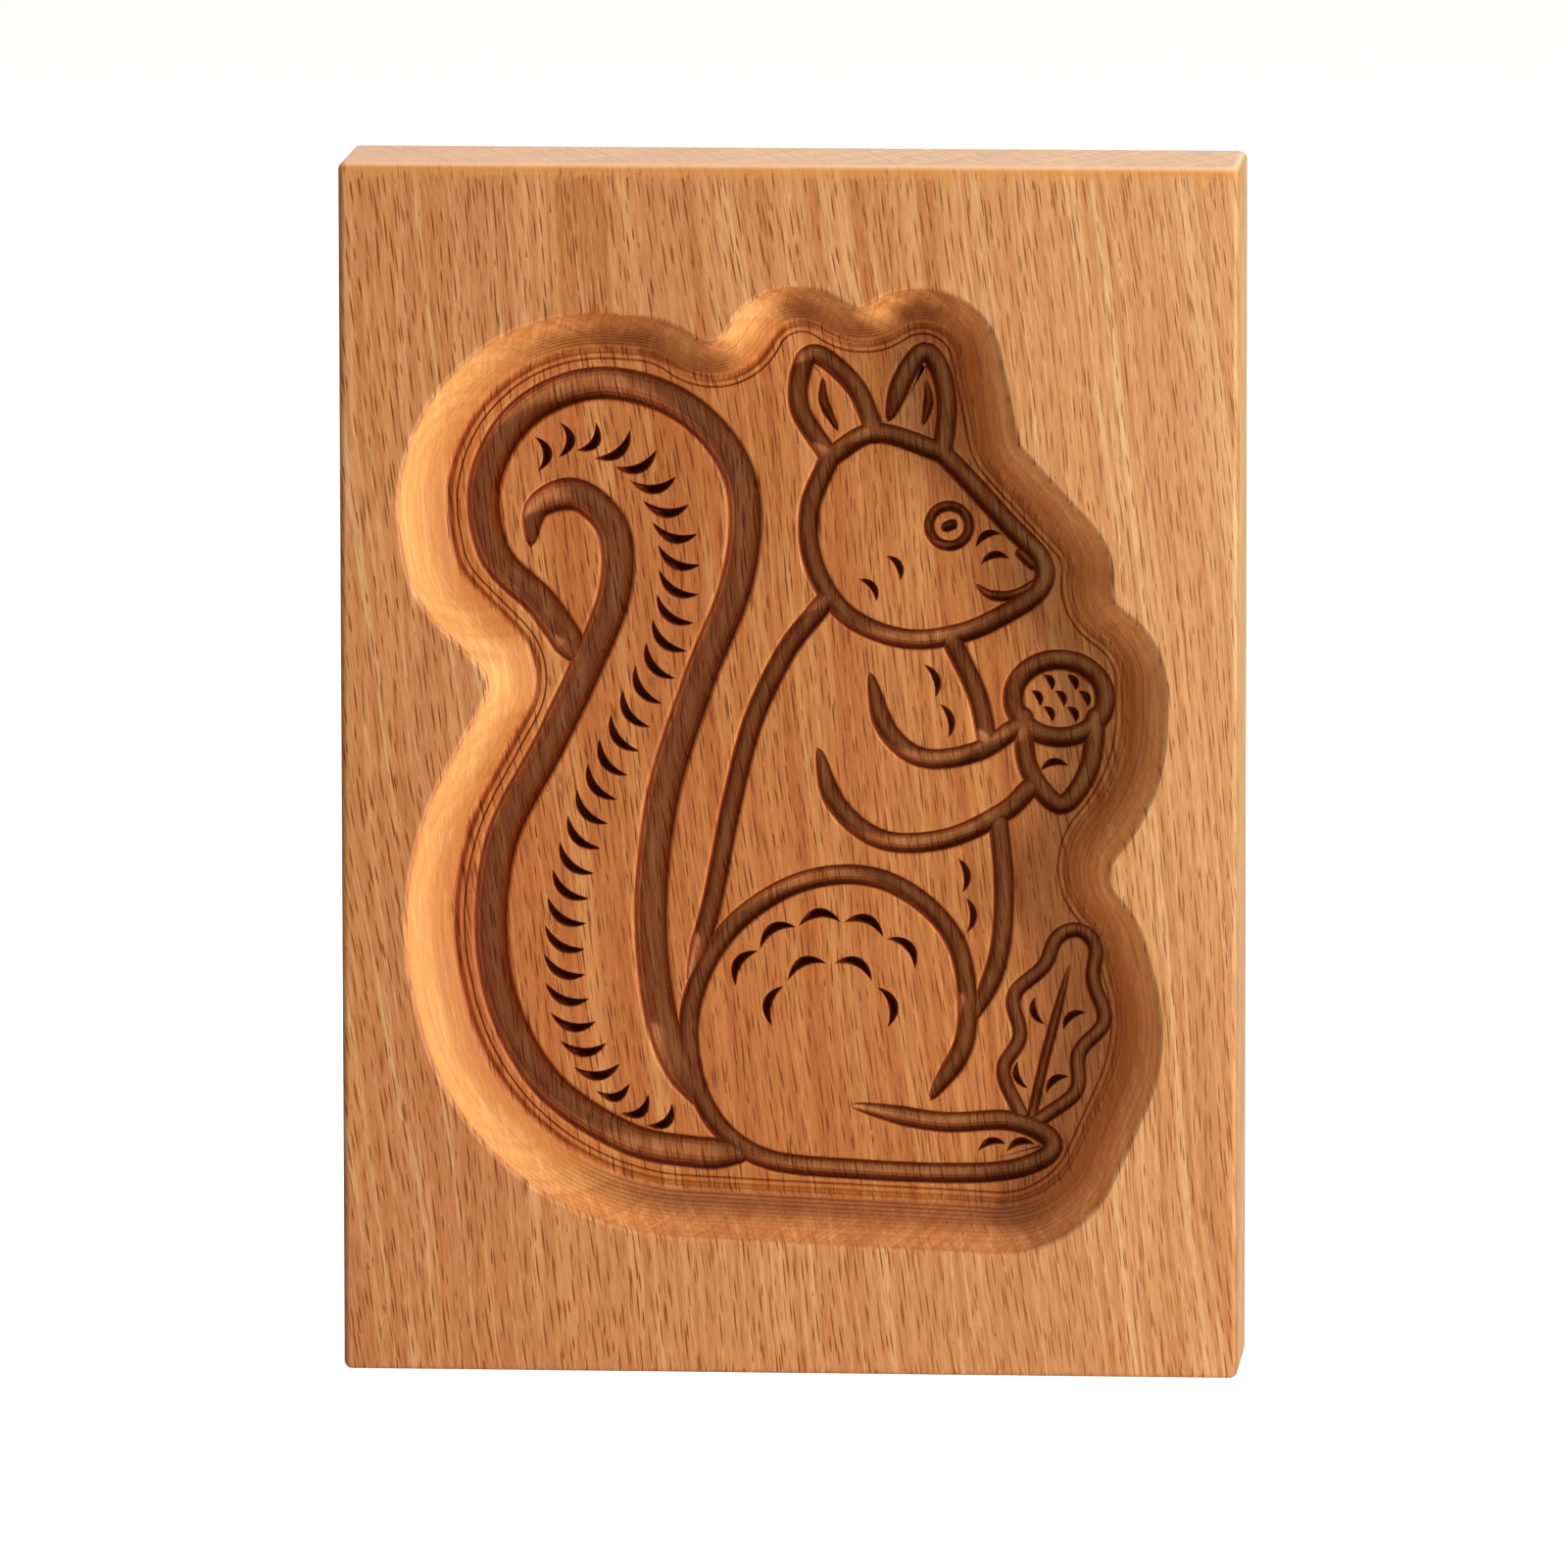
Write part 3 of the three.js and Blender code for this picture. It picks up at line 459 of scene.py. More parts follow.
# %% Board blank
def rounded_rectangle(inset, corner_steps=5, step=3.0):
    """Points round a rectangle with rounded corners, moved inward by inset."""
    corner = BOARD_CORNER_RADIUS - inset if inset < BOARD_CORNER_RADIUS else 0.0
    right, top = BOARD_WIDTH / 2 - BOARD_CORNER_RADIUS, BOARD_LENGTH / 2 - BOARD_CORNER_RADIUS
    middles = [(right, top), (-right, top), (-right, -top), (right, -top)]
    points = []
    for i, (cx, cy) in enumerate(middles):
        for k in range(corner_steps + 1):
            angle = math.pi / 2 * (i + k / corner_steps)
            points.append((cx + corner * math.cos(angle), cy + corner * math.sin(angle)))
        nx, ny = middles[(i + 1) % 4]
        ends = [points[-1], (points[-1][0] + nx - cx, points[-1][1] + ny - cy)]
        count = round(math.dist(*ends) / step)
        start, run = np.array(ends[0]), np.subtract(ends[1], ends[0])
        points += [tuple(start + run * k / count) for k in range(1, count)]
    return points


def blank(edge_steps=5):
    rings = []
    for k in range(edge_steps + 1):
        turn = math.pi / 2 * k / edge_steps
        rings.append((BOARD_EDGE_RADIUS * (1 - math.sin(turn)), -BOARD_EDGE_RADIUS * (1 - math.cos(turn))))
    rings += [(inset, -BOARD_THICKNESS - rise) for inset, rise in reversed(rings)]
    points, faces = [], []
    for inset, rise in rings:
        points += [(x, y, rise) for x, y in rounded_rectangle(inset)]
    n = len(points) // len(rings)
    for level in range(len(rings) - 1):
        for i in range(n):
            a, b = level * n + i, level * n + (i + 1) % n
            faces.append((a, b, b + n, a + n))
    faces += [tuple(range(n)), tuple(range((len(rings) - 1) * n, len(rings) * n))]
    return mesh_object("carved_mould_board", points, faces=faces)


board = blank()
blank_volume = closed_outward(board)
print(f"blank: {len(board.data.vertices)} vertices, {blank_volume / 1000:.1f} cm3")

# %% [markdown]
# ## The hollow
#
# The hollow's wall is the same section all round, so it is a rule: an outline and a profile. It
# could be lofted by hand, but Curve to Mesh does this in one node. The profile has the scallops that
# a round cutter leaves when it goes round at one level after another.
#
# A tree of Geometry Nodes takes its sizes as named inputs, so that one tree serves many pieces. What
# it makes is read back as a plain mesh, because a boolean and the export need real faces.

# %% Outline of the floor
def rounded_outline(corners, step, arc_steps=32):
    """The outline with every corner rounded. Roundings that would meet on an edge share it."""
    p = np.array([c[:2] for c in corners], float)
    into = p - np.roll(p, 1, axis=0)
    length_in = np.linalg.norm(into, axis=1)
    into /= length_in[:, None]
    out = np.roll(into, -1, axis=0)
    length_out = np.roll(length_in, -1)
    turn = np.arctan2(into[:, 0] * out[:, 1] - into[:, 1] * out[:, 0], (into * out).sum(1))
    reach = np.array([c[2] for c in corners], float)
    tangent = reach * np.tan(np.abs(turn) / 2)
    room = length_out / (tangent + np.roll(tangent, -1))
    fit = np.minimum(1, np.minimum(room, np.roll(room, 1)))
    reach, tangent = reach * fit, tangent * fit
    points = []
    for i in range(len(p)):
        side = math.copysign(1, turn[i])
        normal = np.array([-into[i, 1], into[i, 0]]) * side
        centre = p[i] - into[i] * tangent[i] + normal * reach[i]
        start = math.atan2(-normal[1], -normal[0])
        for k in range(arc_steps + 1):
            angle = start + turn[i] * k / arc_steps
            points.append(centre + reach[i] * np.array([math.cos(angle), math.sin(angle)]))
    return evenly(np.array(points + [points[0]]), step)[:-1]


def evenly(points, step):
    """The same line, cut into equal steps of about that length."""
    lengths = np.concatenate([[0], np.cumsum(np.linalg.norm(np.diff(points, axis=0), axis=1))])
    count = max(round(lengths[-1] / step), 2)
    at = np.linspace(0, lengths[-1], count + 1)
    return np.column_stack([np.interp(at, lengths, points[:, 0]), np.interp(at, lengths, points[:, 1])])


floor_line = rounded_outline(FLOOR_CORNERS, 0.7)
print("floor outline:", len(floor_line), "points")


# %% A tree's start and end, and its result as a plain mesh
def new_tree(name, **sizes):
    """A Geometry Nodes tree with a geometry input and one named input for each size."""
    tree = bpy.data.node_groups.new(name, "GeometryNodeTree")
    tree.interface.new_socket("Geometry", in_out="INPUT", socket_type="NodeSocketGeometry")
    tree.interface.new_socket("Geometry", in_out="OUTPUT", socket_type="NodeSocketGeometry")
    for label, kind in sizes.items():
        tree.interface.new_socket(label.replace("_", " "), in_out="INPUT", socket_type=kind)
    return tree, add_node(tree, "NodeGroupInput").outputs


def end_tree(tree, geometry, material):
    real = add_node(tree, "GeometryNodeRealizeInstances", {"Geometry": geometry})
    last = add_node(tree, "GeometryNodeSetMaterial", {"Geometry": real, "Material": material})
    add_node(tree, "NodeGroupOutput", {"Geometry": last})


def plain(obj):
    """Replaces an object's mesh by its evaluated mesh and takes its modifiers off."""
    bpy.context.view_layer.update()
    evaluated = obj.evaluated_get(bpy.context.evaluated_depsgraph_get())
    mesh = bpy.data.meshes.new_from_object(evaluated)
    obj.modifiers.clear()
    obj.data = mesh
    return obj


def run_tree(obj, tree, **values):
    """Runs a tree on an object and swaps the object's mesh for the plain result."""
    modifier = obj.modifiers.new(tree.name, "NODES")
    modifier.node_group = tree
    for item in tree.interface.items_tree:
        key = item.name.replace(" ", "_")
        if item.in_out == "INPUT" and key in values:
            modifier[item.identifier] = values[key]
    return plain(obj)


# %% Wall profile and sweep tree
def wall_profile(levels=13, scallop=0.02):
    """The wall from the floor up, as (outward, down). Each level leaves a shallow scallop."""
    foot = np.array([0.0, -HOLLOW_DEPTH - FOOT_CUT_DEPTH])
    rim = np.array([WALL_LEAN, -RIM_EASE])
    belly = (foot + rim) / 2 + [WALL_COVE, -WALL_COVE]
    t = np.linspace(0, 1, levels * 2 + 1)[:, None]
    cove = foot * (1 - t) ** 2 + belly * 2 * t * (1 - t) + rim * t**2
    away = np.array([rim[1] - foot[1], foot[0] - rim[0]])
    away /= np.linalg.norm(away)
    cove[1:-1:2] += away * scallop
    ease = [(WALL_LEAN + RIM_EASE * out, -RIM_EASE * down)
            for out, down in ((0.2, 0.55), (0.45, 0.22), (1.0, 0.0))]
    points = [(-SECOND_CUT - SECOND_CUT_HALF_WIDTH, -HOLLOW_DEPTH),
              (-SECOND_CUT, -HOLLOW_DEPTH - FOOT_CUT_DEPTH * 0.8),
              (-SECOND_CUT + SECOND_CUT_HALF_WIDTH, -HOLLOW_DEPTH), (-FOOT_CUT_WIDTH, -HOLLOW_DEPTH),
              (-FOOT_CUT_WIDTH * 0.4, -HOLLOW_DEPTH - FOOT_CUT_DEPTH * 0.8),
              *cove, *ease, (WALL_LEAN + RIM_EASE, CUTTER_ABOVE)]
    return [(outward, -up) for outward, up in points]


def ring_edges(count, closed):
    return [(i, (i + 1) % count) for i in range(count if closed else count - 1)]


sweep, given = new_tree("sweep_tool_along_line", Section="NodeSocketObject", Wander="NodeSocketFloat",
                        Seed="NodeSocketFloat", Material="NodeSocketMaterial")
path = add_node(sweep, "GeometryNodeMeshToCurve", {"Mesh": given["Geometry"]})
upright = add_node(sweep, "GeometryNodeSetCurveNormal", {"Curve": path}, mode="Z_UP")
section = add_node(sweep, "GeometryNodeObjectInfo", {"Object": given["Section"]})
profile = add_node(sweep, "GeometryNodeMeshToCurve", {"Mesh": section.outputs["Geometry"]})
size = add_node(sweep, "GeometryNodeInputNamedAttribute", {"Name": "size"}, data_type="FLOAT")
swept = add_node(sweep, "GeometryNodeCurveToMesh", {"Curve": upright, "Profile Curve": profile,
                 "Scale": size.outputs["Attribute"], "Fill Caps": True})
where = add_node(sweep, "GeometryNodeInputPosition")
shake = add_node(sweep, "ShaderNodeTexNoise", {"Vector": where, "W": given["Seed"],
                 "Scale": HAND_WAVES_PER_MM, "Detail": 2.0}, noise_dimensions="4D")
centred = add_node(sweep, "ShaderNodeVectorMath", {0: shake.outputs["Color"], 1: (0.5, 0.5, 0.5)},
                   operation="SUBTRACT")
level = add_node(sweep, "ShaderNodeVectorMath", {0: centred, 1: (2, 2, 0)}, operation="MULTIPLY")
scaled = add_node(sweep, "ShaderNodeVectorMath", {0: level, "Scale": given["Wander"]}, operation="SCALE")
moved = add_node(sweep, "GeometryNodeSetPosition", {"Geometry": swept, "Offset": scaled})
end_tree(sweep, moved, given["Material"])
print("wall profile:", len(wall_profile()), "points, sweep nodes:", len(sweep.nodes))

# %% Cut the hollow
cutters = []


def sweep_cutter(name, line, section_points, rise, closed=False, size=None, wander=0.05, section_closed=True):
    """A closed cutter: the section swept along a line at a height, with a size at each point."""
    obj = mesh_object(name, [(x, y, rise) for x, y in line], ring_edges(len(line), closed))
    sizes = obj.data.attributes.new("size", "FLOAT", "POINT")
    sizes.data.foreach_set("value", np.ones(len(line)) if size is None else np.asarray(size, float))
    tool = mesh_object(name + "_section", section_points, ring_edges(len(section_points), section_closed))
    run_tree(obj, sweep, Section=tool, Wander=wander, Seed=float(len(cutters)), Material=beech)
    bpy.data.objects.remove(tool)
    volume = closed_outward(obj)
    cutters.append(obj)
    return volume


wall_volume = sweep_cutter("hollow", floor_line, wall_profile(), 0.0, closed=True, wander=0.08,
                           section_closed=False)
print(f"hollow cutter: {wall_volume / 1000:.1f} cm3")

# %% [markdown]
# ## The lines of the drawing
#
# Each line is a groove from a round-nosed cutter. The cutter is lowered and raised at a line's ends,
# so the groove fades there. The lips are eased a little, as sanding leaves them, and catch light.

# %% Tools and lines
def tool_section(width, depth, roundness, lip, steps=10):
    """The tool's section, as (sideways, down): eased lips, then a rounded V down to its depth."""
    half = width / 2 - lip * 0.5
    right = [(half + lip, -CUTTER_ABOVE)]
    for k in range(3):
        angle = math.pi / 2 * k / 3
        right.append((half + lip - lip * math.sin(angle), lip - lip * math.cos(angle)))
    below = []
    for k in range(steps + 1):
        angle = math.pi * k / steps
        across, down = math.cos(angle), math.sin(angle)
        side = math.copysign(abs(across) ** (2 / roundness), across) * half
        below.append((side, lip + (depth - lip) * down ** (2 / roundness)))
    left = [(-side, down) for side, down in reversed(right)]
    return right + below + left


def smooth_line(points, step=LINE_STEP):
    """A smooth line through the points, cut into equal steps."""
    p = np.array(points, float)
    p = np.vstack([2 * p[0] - p[1], p, 2 * p[-1] - p[-2]])
    t = np.linspace(0, 1, 24, endpoint=False)[:, None]
    spans = []
    for a, b, c, d in zip(p, p[1:], p[2:], p[3:]):
        square, cube = 2 * a - 5 * b + 4 * c - d, 3 * b - a - 3 * c + d
        spans.append(b + 0.5 * ((c - a) * t + square * t**2 + cube * t**3))
    return evenly(np.vstack([*spans, p[-2]]), step)


def with_ends(line, half_width, fade_in, fade_out):
    """The line and the groove's size along it: fading out slowly, or round where the cutter stops."""
    at = np.concatenate([[0], np.cumsum(np.linalg.norm(np.diff(line, axis=0), axis=1))])
    size = np.ones(len(line))
    for distance, reach in ((at, fade_in), (at[-1] - at, fade_out)):
        if reach:
            lowered = np.sqrt(np.clip(distance / reach, 0, 1))
            size = np.minimum(size, THINNEST_END + (1 - THINNEST_END) * lowered)
    nose = np.array([0.35, 0.65, 0.85, 0.96, 1.0])
    round_off = np.maximum(np.sqrt(1 - nose**2), THINNEST_END)
    if not fade_in:
        out = (line[0] - line[1]) / np.linalg.norm(line[0] - line[1]) * half_width
        line = np.vstack([line[0] + np.outer(nose[::-1], out), line])
        size = np.concatenate([round_off[::-1], size])
    if not fade_out:
        out = (line[-1] - line[-2]) / np.linalg.norm(line[-1] - line[-2]) * half_width
        line = np.vstack([line, line[-1] + np.outer(nose, out)])
        size = np.concatenate([size, round_off])
    return line, size


for lines, tool in ((TAIL_LINES, TAIL_TOOL), (BODY_LINES, LINE_TOOL), (FINE_LINES, FINE_TOOL)):
    for name, (points, fade_in, fade_out) in lines.items():
        line, size = with_ends(smooth_line(points), tool["width"] / 2, fade_in, fade_out)
        sweep_cutter(name, line, tool_section(**tool), -HOLLOW_DEPTH, size=size)
print("grooves:", len(cutters) - 1)


# %% Eye, acorn cup and oak leaf
def ellipse(middle, half_width, half_height, step=LINE_STEP):
    angle = np.linspace(0, 2 * math.pi, 181)
    loop = np.column_stack([middle[0] + half_width * np.cos(angle), middle[1] + half_height * np.sin(angle)])
    return evenly(loop, step)[:-1]


def oak_leaf(step=0.45):
    """The half width swells from base to tip and dips between the lobes. The line is open at the base."""
    base, tip = np.array(LEAF_BASE, float), np.array(LEAF_TIP, float)
    along = tip - base
    across = np.array([-along[1], along[0]]) / np.linalg.norm(along)
    way = (0.5 - 0.5 * np.cos(np.linspace(0.25, math.pi, 120)))[:, None]
    dip = LOBE_SHARE * (0.5 + 0.5 * np.cos(2 * math.pi * (LEAF_LOBES - 0.5) * way))
    half = LEAF_HALF_WIDTH * np.sqrt(np.sin(math.pi * way)) * (1 - dip)
    half[-1] = 0
    right, left = base + along * way - across * half, base + along * way + across * half
    return evenly(np.vstack([right, left[::-1][1:]]), step)


sweep_cutter("acorn_cup", ellipse(CUP_MIDDLE, CUP_WIDTH / 2, CUP_HEIGHT / 2), tool_section(**LINE_TOOL),
             -HOLLOW_DEPTH, closed=True)
leaf, leaf_size = with_ends(oak_leaf(), LEAF_TOOL["width"] / 2, 0, 0)
sweep_cutter("oak_leaf", leaf, tool_section(**LEAF_TOOL), -HOLLOW_DEPTH, size=leaf_size)
sweep_cutter("eye", ellipse(EYE_MIDDLE, EYE_RADIUS, EYE_RADIUS, 0.4), tool_section(**FINE_TOOL),
             -HOLLOW_DEPTH, closed=True)
print("grooves with the eye, the cup and the leaf:", len(cutters) - 1)

# %% [markdown]
# ## Gouge cuts
#
# The fur, the scales of the acorn's cup and the leaf's veins are single pushes of a gouge: a short
# arc, widest and deepest in its middle. Each could be modelled where it lies, but they are all the
# same cut in three sizes. So one of each size is made, and Geometry Nodes repeat it along the tail
# and at the drawing's places.

# %% One gouge cut of each size
def gouge_cut(name, length, tool, steps=12):
    t = np.linspace(0, 1, steps + 1)
    half = length / 2
    arc = np.column_stack([half * (2 * t - 1), 2 * t * (1 - t) * half * CUT_BOW])
    size = CUT_END_SIZE + CUT_SWELL * np.sin(math.pi * t) ** CUT_FULLNESS
    sweep_cutter(name, arc, tool_section(**tool, steps=6), 0.0, size=size, wander=0.0)
    return cutters.pop()


fur_cut = gouge_cut("fur_cut", FUR_CUT_LENGTH, FUR_GOUGE)
small_cut = gouge_cut("small_cut", SMALL_CUT_LENGTH, SMALL_GOUGE)
cup_cut = gouge_cut("cup_cut", CUP_CUT_LENGTH, SMALL_GOUGE)
print("faces of one fur cut:", len(fur_cut.data.polygons))

# %% The row along the tail
row, given = new_tree("row_of_cuts_along_line", Cut="NodeSocketObject", Count="NodeSocketInt",
                      Start="NodeSocketFloat", End="NodeSocketFloat", Lean="NodeSocketFloat",
                      Material="NodeSocketMaterial")
path = add_node(row, "GeometryNodeMeshToCurve", {"Mesh": given["Geometry"]})
part = add_node(row, "GeometryNodeTrimCurve", {"Curve": path, 2: given["Start"], 3: given["End"]})
spots = add_node(row, "GeometryNodeCurveToPoints", {"Curve": part, "Count": given["Count"]}, mode="COUNT")
heading = add_node(row, "ShaderNodeSeparateXYZ", {0: spots.outputs["Tangent"]})
angle = add_node(row, "ShaderNodeMath", {0: heading.outputs[1], 1: heading.outputs[0]}, operation="ARCTAN2")
leant = add_node(row, "ShaderNodeMath", {0: angle, 1: given["Lean"]}, operation="ADD")
turned = add_node(row, "ShaderNodeCombineXYZ", {2: leant})
rotation = add_node(row, "FunctionNodeEulerToRotation", {0: turned})
index = add_node(row, "GeometryNodeInputIndex")
last = add_node(row, "ShaderNodeMath", {0: given["Count"], 1: 1.0}, operation="SUBTRACT")
back = add_node(row, "ShaderNodeMath", {0: last, 1: index}, operation="SUBTRACT")
nearest = add_node(row, "ShaderNodeMath", {0: index, 1: back}, operation="MINIMUM")
near_end = add_node(row, "ShaderNodeMath", {0: nearest, 1: SHORT_CUTS_AT_ENDS - 0.5}, operation="LESS_THAN")
long = add_node(row, "ShaderNodeMath", {0: near_end, 1: -SHORTER_BY, 2: 1.0}, operation="MULTIPLY_ADD")
stretch = add_node(row, "ShaderNodeCombineXYZ", {0: long, 1: 1.0, 2: 1.0})
cut_shape = add_node(row, "GeometryNodeObjectInfo", {"Object": given["Cut"]})
copies = add_node(row, "GeometryNodeInstanceOnPoints", {"Points": spots.outputs["Points"],
                  "Instance": cut_shape.outputs["Geometry"], "Rotation": rotation, "Scale": stretch})
end_tree(row, copies, given["Material"])

tail_line = smooth_line(TAIL_MIDDLE)
tail_length = np.linalg.norm(np.diff(tail_line, axis=0), axis=1).sum()
tail_points = [(x, y, -HOLLOW_DEPTH) for x, y in tail_line]
tail_fur = mesh_object("tail_fur", tail_points, ring_edges(len(tail_line), False))
tail_cuts = int(tail_length // FUR_CUT_PITCH) + 1
run_tree(tail_fur, row, Cut=fur_cut, Count=tail_cuts, Start=0.02, End=0.98,
         Lean=math.radians(FUR_CUT_LEAN), Material=beech)
closed_outward(tail_fur)
cutters.append(tail_fur)
print(f"tail: {tail_length:.0f} mm long, {tail_cuts} cuts")

# %% Cuts at the drawing's places
scatter, given = new_tree("cuts_at_places", Cut="NodeSocketObject", Material="NodeSocketMaterial")
turn_by = add_node(scatter, "GeometryNodeInputNamedAttribute", {"Name": "turn"}, data_type="FLOAT")
stretch_by = add_node(scatter, "GeometryNodeInputNamedAttribute", {"Name": "stretch"}, data_type="FLOAT")
turned = add_node(scatter, "ShaderNodeCombineXYZ", {2: turn_by.outputs["Attribute"]})
rotation = add_node(scatter, "FunctionNodeEulerToRotation", {0: turned})
stretch = add_node(scatter, "ShaderNodeCombineXYZ", {0: stretch_by.outputs["Attribute"], 1: 1.0, 2: 1.0})
cut_shape = add_node(scatter, "GeometryNodeObjectInfo", {"Object": given["Cut"]})
copies = add_node(scatter, "GeometryNodeInstanceOnPoints", {"Points": given["Geometry"],
                  "Instance": cut_shape.outputs["Geometry"], "Rotation": rotation, "Scale": stretch})
end_tree(scatter, copies, given["Material"])


def cuts_at(name, cut, places):
    """places are (x, y, degrees, stretch)."""
    obj = mesh_object(name, [(x, y, -HOLLOW_DEPTH) for x, y, _, _ in places])
    turns, stretches = [math.radians(p[2]) for p in places], [p[3] for p in places]
    for label, values in (("turn", turns), ("stretch", stretches)):
        obj.data.attributes.new(label, "FLOAT", "POINT").data.foreach_set("value", values)
    run_tree(obj, scatter, Cut=cut, Material=beech)
    closed_outward(obj)
    cutters.append(obj)


haunch = []
for ring, angles in HAUNCH_RINGS.items():
    for degrees in angles:
        x = HAUNCH_MIDDLE[0] + ring * math.cos(math.radians(degrees))
        y = HAUNCH_MIDDLE[1] + ring * math.sin(math.radians(degrees))
        haunch.append((x, y, degrees - 90, HAUNCH_STRETCH))
cuts_at("haunch_fur", fur_cut, haunch)

scales = []
for level in (-1, 0, 1):
    for aside in (-1, 0, 1) if level == 0 else (-0.5, 0.5):
        x = CUP_MIDDLE[0] + aside * CUP_CUT_GAPS[0]
        y = CUP_MIDDLE[1] + level * CUP_CUT_GAPS[1]
        scales.append((x, y, CUP_CUT_TURN, 1.0))
cuts_at("cup_scales", cup_cut, scales)

small = [(*cut, CHEST_STRETCH) for cut in CHEST_CUTS] + [(*cut, 1.0) for cut in FACE_AND_FOOT_CUTS]
for lobe in range(LEAF_LOBES - 1):
    up_rib = (lobe + 0.5) / LEAF_LOBES + VEINS_UP_RIB
    x = LEAF_BASE[0] + (LEAF_TIP[0] - LEAF_BASE[0]) * up_rib
    y = LEAF_BASE[1] + (LEAF_TIP[1] - LEAF_BASE[1]) * up_rib
    small += [(x + right, y + up, degrees, 1.0) for right, up, degrees in LEAF_VEINS]
cuts_at("small_cuts", small_cut, small)
print("cutters:", len(cutters), "with", sum(len(c.data.polygons) for c in cutters), "faces")

# %% [markdown]
# ## Carving the board
#
# The cutters are taken away from the blank one after another, as at the bench. A height map would
# also do for a relief, but it blurs crisp corners where two grooves meet, and a boolean keeps them.
# Then the board is stood up, its flat faces are shaded flat, and its curved cuts smooth.

# %% Cut, stand up and shade
# A face whose normal is this near to an axis is flat, and edges from this angle on stay sharp
FACES_AN_AXIS, SHARP_FROM_DEGREES = 0.9999, 32

for cutter in cutters:
    modifier = board.modifiers.new(cutter.name, "BOOLEAN")
    modifier.operation, modifier.solver, modifier.object = "DIFFERENCE", "MANIFOLD", cutter
plain(board)
for tool in [*cutters, fur_cut, small_cut, cup_cut]:
    bpy.data.objects.remove(tool)

lift = Matrix.Translation((0, -BOARD_THICKNESS / 2, BOARD_LENGTH / 2))
board.data.transform(Matrix.Scale(0.001, 4) @ lift @ Matrix.Rotation(math.pi / 2, 4, "X"))
board.data.materials.clear()
board.data.materials.append(beech)

bm = bmesh.new()
bm.from_mesh(board.data)
bmesh.ops.dissolve_degenerate(bm, dist=2e-7, edges=bm.edges)
bmesh.ops.triangulate(bm, faces=bm.faces)
open_edges = sum(1 for e in bm.edges if not e.is_manifold)
flat = 0
across_grain = bm.faces.layers.float.new("across_grain")
steepness = bm.faces.layers.float.new("steepness")
for face in bm.faces:
    face.material_index = 0
    n = face.normal
    face[across_grain] = abs(n.z)
    face[steepness] = 1 - abs(n.y)
    face.smooth = max(abs(n.x), abs(n.y), abs(n.z)) < FACES_AN_AXIS
    flat += not face.smooth
for edge in bm.edges:
    edge.smooth = edge.calc_face_angle(0) < math.radians(SHARP_FROM_DEGREES)
volume = bm.calc_volume(signed=True) * 1e6
print(f"carved board: {len(bm.faces)} triangles, {flat} flat, {open_edges} open edges, {volume:.1f} cm3")
bm.to_mesh(board.data)
bm.free()

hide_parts("mould_board")
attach(board, "root")

# %% [markdown]
# ## Floor, light and camera
#
# The mould stands on a plain pale floor. The main lamp stands to the right, low over the face, as
# carved work needs: the wall near it falls into shade and the far one glows. A lamp in front would
# be even, but it would wash the grooves out. A weak lamp above lights the top end. The camera looks
# from a little right and above, from far away.

# %% Floor
FLOOR_GLOW, ROOM_LIGHT, FLOOR_REACH = 0.82, 0.22, 3


def seen_white(tree):
    """1 for what the camera sees, straight, mirrored or through glass, and 0 for light that falls."""
    rays = add_node(tree, "ShaderNodeLightPath").outputs
    straight = add_node(tree, "ShaderNodeMath", {0: rays["Is Camera Ray"], 1: rays["Is Glossy Ray"]},
                        operation="ADD")
    return add_node(tree, "ShaderNodeMath", {0: straight, 1: rays["Is Transmission Ray"]},
                    operation="ADD", use_clamp=True)


floor_corners = [(x * FLOOR_REACH, y * FLOOR_REACH, 0) for x, y in ((-1, -1), (1, -1), (1, 1), (-1, 1))]
floor = mesh_object("studio_floor", floor_corners, faces=[(0, 1, 2, 3)])
paper = bpy.data.materials.new("white_paper_sweep")
paper.use_nodes = True
sheet = paper.node_tree
sheet.nodes.clear()
glow = add_node(sheet, "ShaderNodeMath", {0: seen_white(sheet), 1: FLOOR_GLOW}, operation="MULTIPLY")
matt = add_node(sheet, "ShaderNodeBsdfDiffuse", {"Color": linear("#F2F2F2")})
light = add_node(sheet, "ShaderNodeEmission", {"Color": linear("#FFFFFF"), "Strength": glow})
both = add_node(sheet, "ShaderNodeAddShader", {0: matt, 1: light})
add_node(sheet, "ShaderNodeOutputMaterial", {"Surface": both})
floor.data.materials.append(paper)
print("floor:", paper.name, "with", len(sheet.nodes), "nodes")

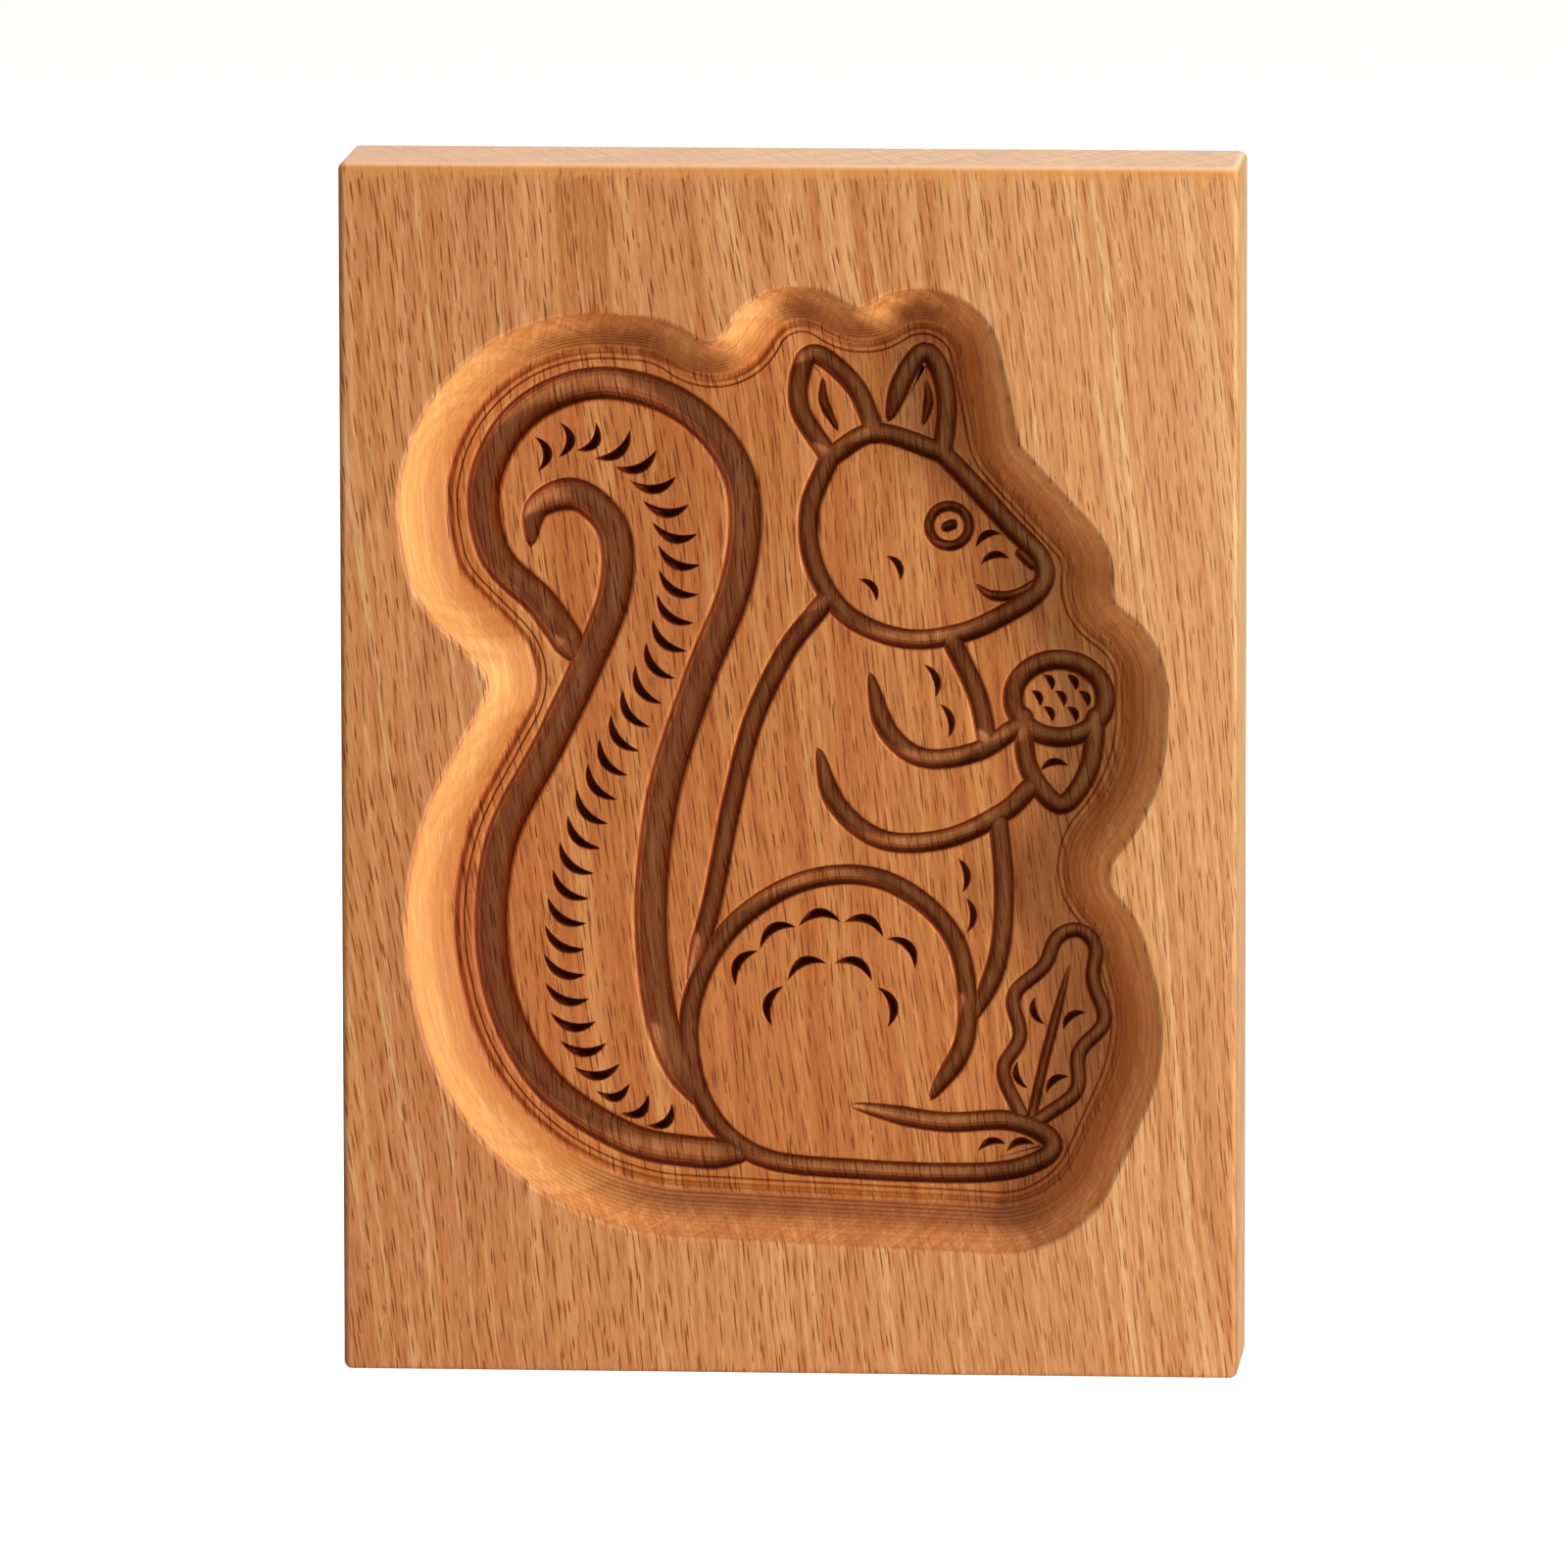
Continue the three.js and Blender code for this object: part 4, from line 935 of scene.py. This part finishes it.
# %% Light
world = bpy.data.worlds.new("pale_room")
bpy.context.scene.world = world
world.use_nodes = True
room = world.node_tree
room.nodes.clear()
any_view = seen_white(room)
strength = add_node(room, "ShaderNodeMapRange", {"Value": any_view, "To Min": ROOM_LIGHT, "To Max": 1.0})
tint = add_node(room, "ShaderNodeMix", {0: any_view, 6: linear("#FFF4E9"), 7: linear("#FFFFFF")},
                data_type="RGBA")
air = add_node(room, "ShaderNodeBackground", {"Color": tint.outputs[2], "Strength": strength})
add_node(room, "ShaderNodeOutputWorld", {"Surface": air})


def soft_box(name, place, aim, size, watts):
    lamp = bpy.data.lights.new(name, "AREA")
    lamp.shape, lamp.size, lamp.size_y = "RECTANGLE", *size
    lamp.energy = watts
    obj = bpy.data.objects.new(name, lamp)
    bpy.context.scene.collection.objects.link(obj)
    obj.location = place
    obj.rotation_euler = (Vector(aim) - Vector(place)).to_track_quat("-Z", "Y").to_euler()


soft_box("key_right", place=(0.80, -0.38, 0.17), aim=(0, 0, 0.076), size=(0.19, 0.19), watts=9.2)
soft_box("overhead", place=(0.02, -0.02, 0.65), aim=(0, 0, 0.15), size=(0.3, 0.2), watts=2.0)
print("lamps:", [lamp.name for lamp in bpy.data.lights])

# %% Camera
CAMERA_DISTANCE, CAMERA_AZIMUTH, CAMERA_ELEVATION = 2.2, 4.3, 8.1
CAMERA_AIM, CAMERA_ROLL = (-0.0006, -0.01, 0.0745), -0.1
PIXELS_PER_MM, FRAME_PIXELS, SENSOR = 8.2, 1600, 36.0

lens = bpy.data.cameras.new("long_lens")
lens.sensor_width = SENSOR
lens.lens = PIXELS_PER_MM * CAMERA_DISTANCE * 1000 * SENSOR / FRAME_PIXELS
lens.clip_start, lens.clip_end = 0.05, 20
camera = bpy.data.objects.new("camera", lens)
bpy.context.scene.collection.objects.link(camera)
a, e = math.radians(CAMERA_AZIMUTH), math.radians(CAMERA_ELEVATION)
back = Vector((math.sin(a) * math.cos(e), -math.cos(a) * math.cos(e), math.sin(e)))
camera.location = Vector(CAMERA_AIM) + back * CAMERA_DISTANCE
camera.rotation_euler = ((-back).to_track_quat("-Z", "Y").to_matrix()
                         @ Matrix.Rotation(math.radians(CAMERA_ROLL), 3, "Z")).to_euler()
bpy.context.scene.camera = camera
bpy.context.scene.view_settings.view_transform = "Standard"
print(f"lens: {lens.lens:.0f} mm at {CAMERA_DISTANCE} m")
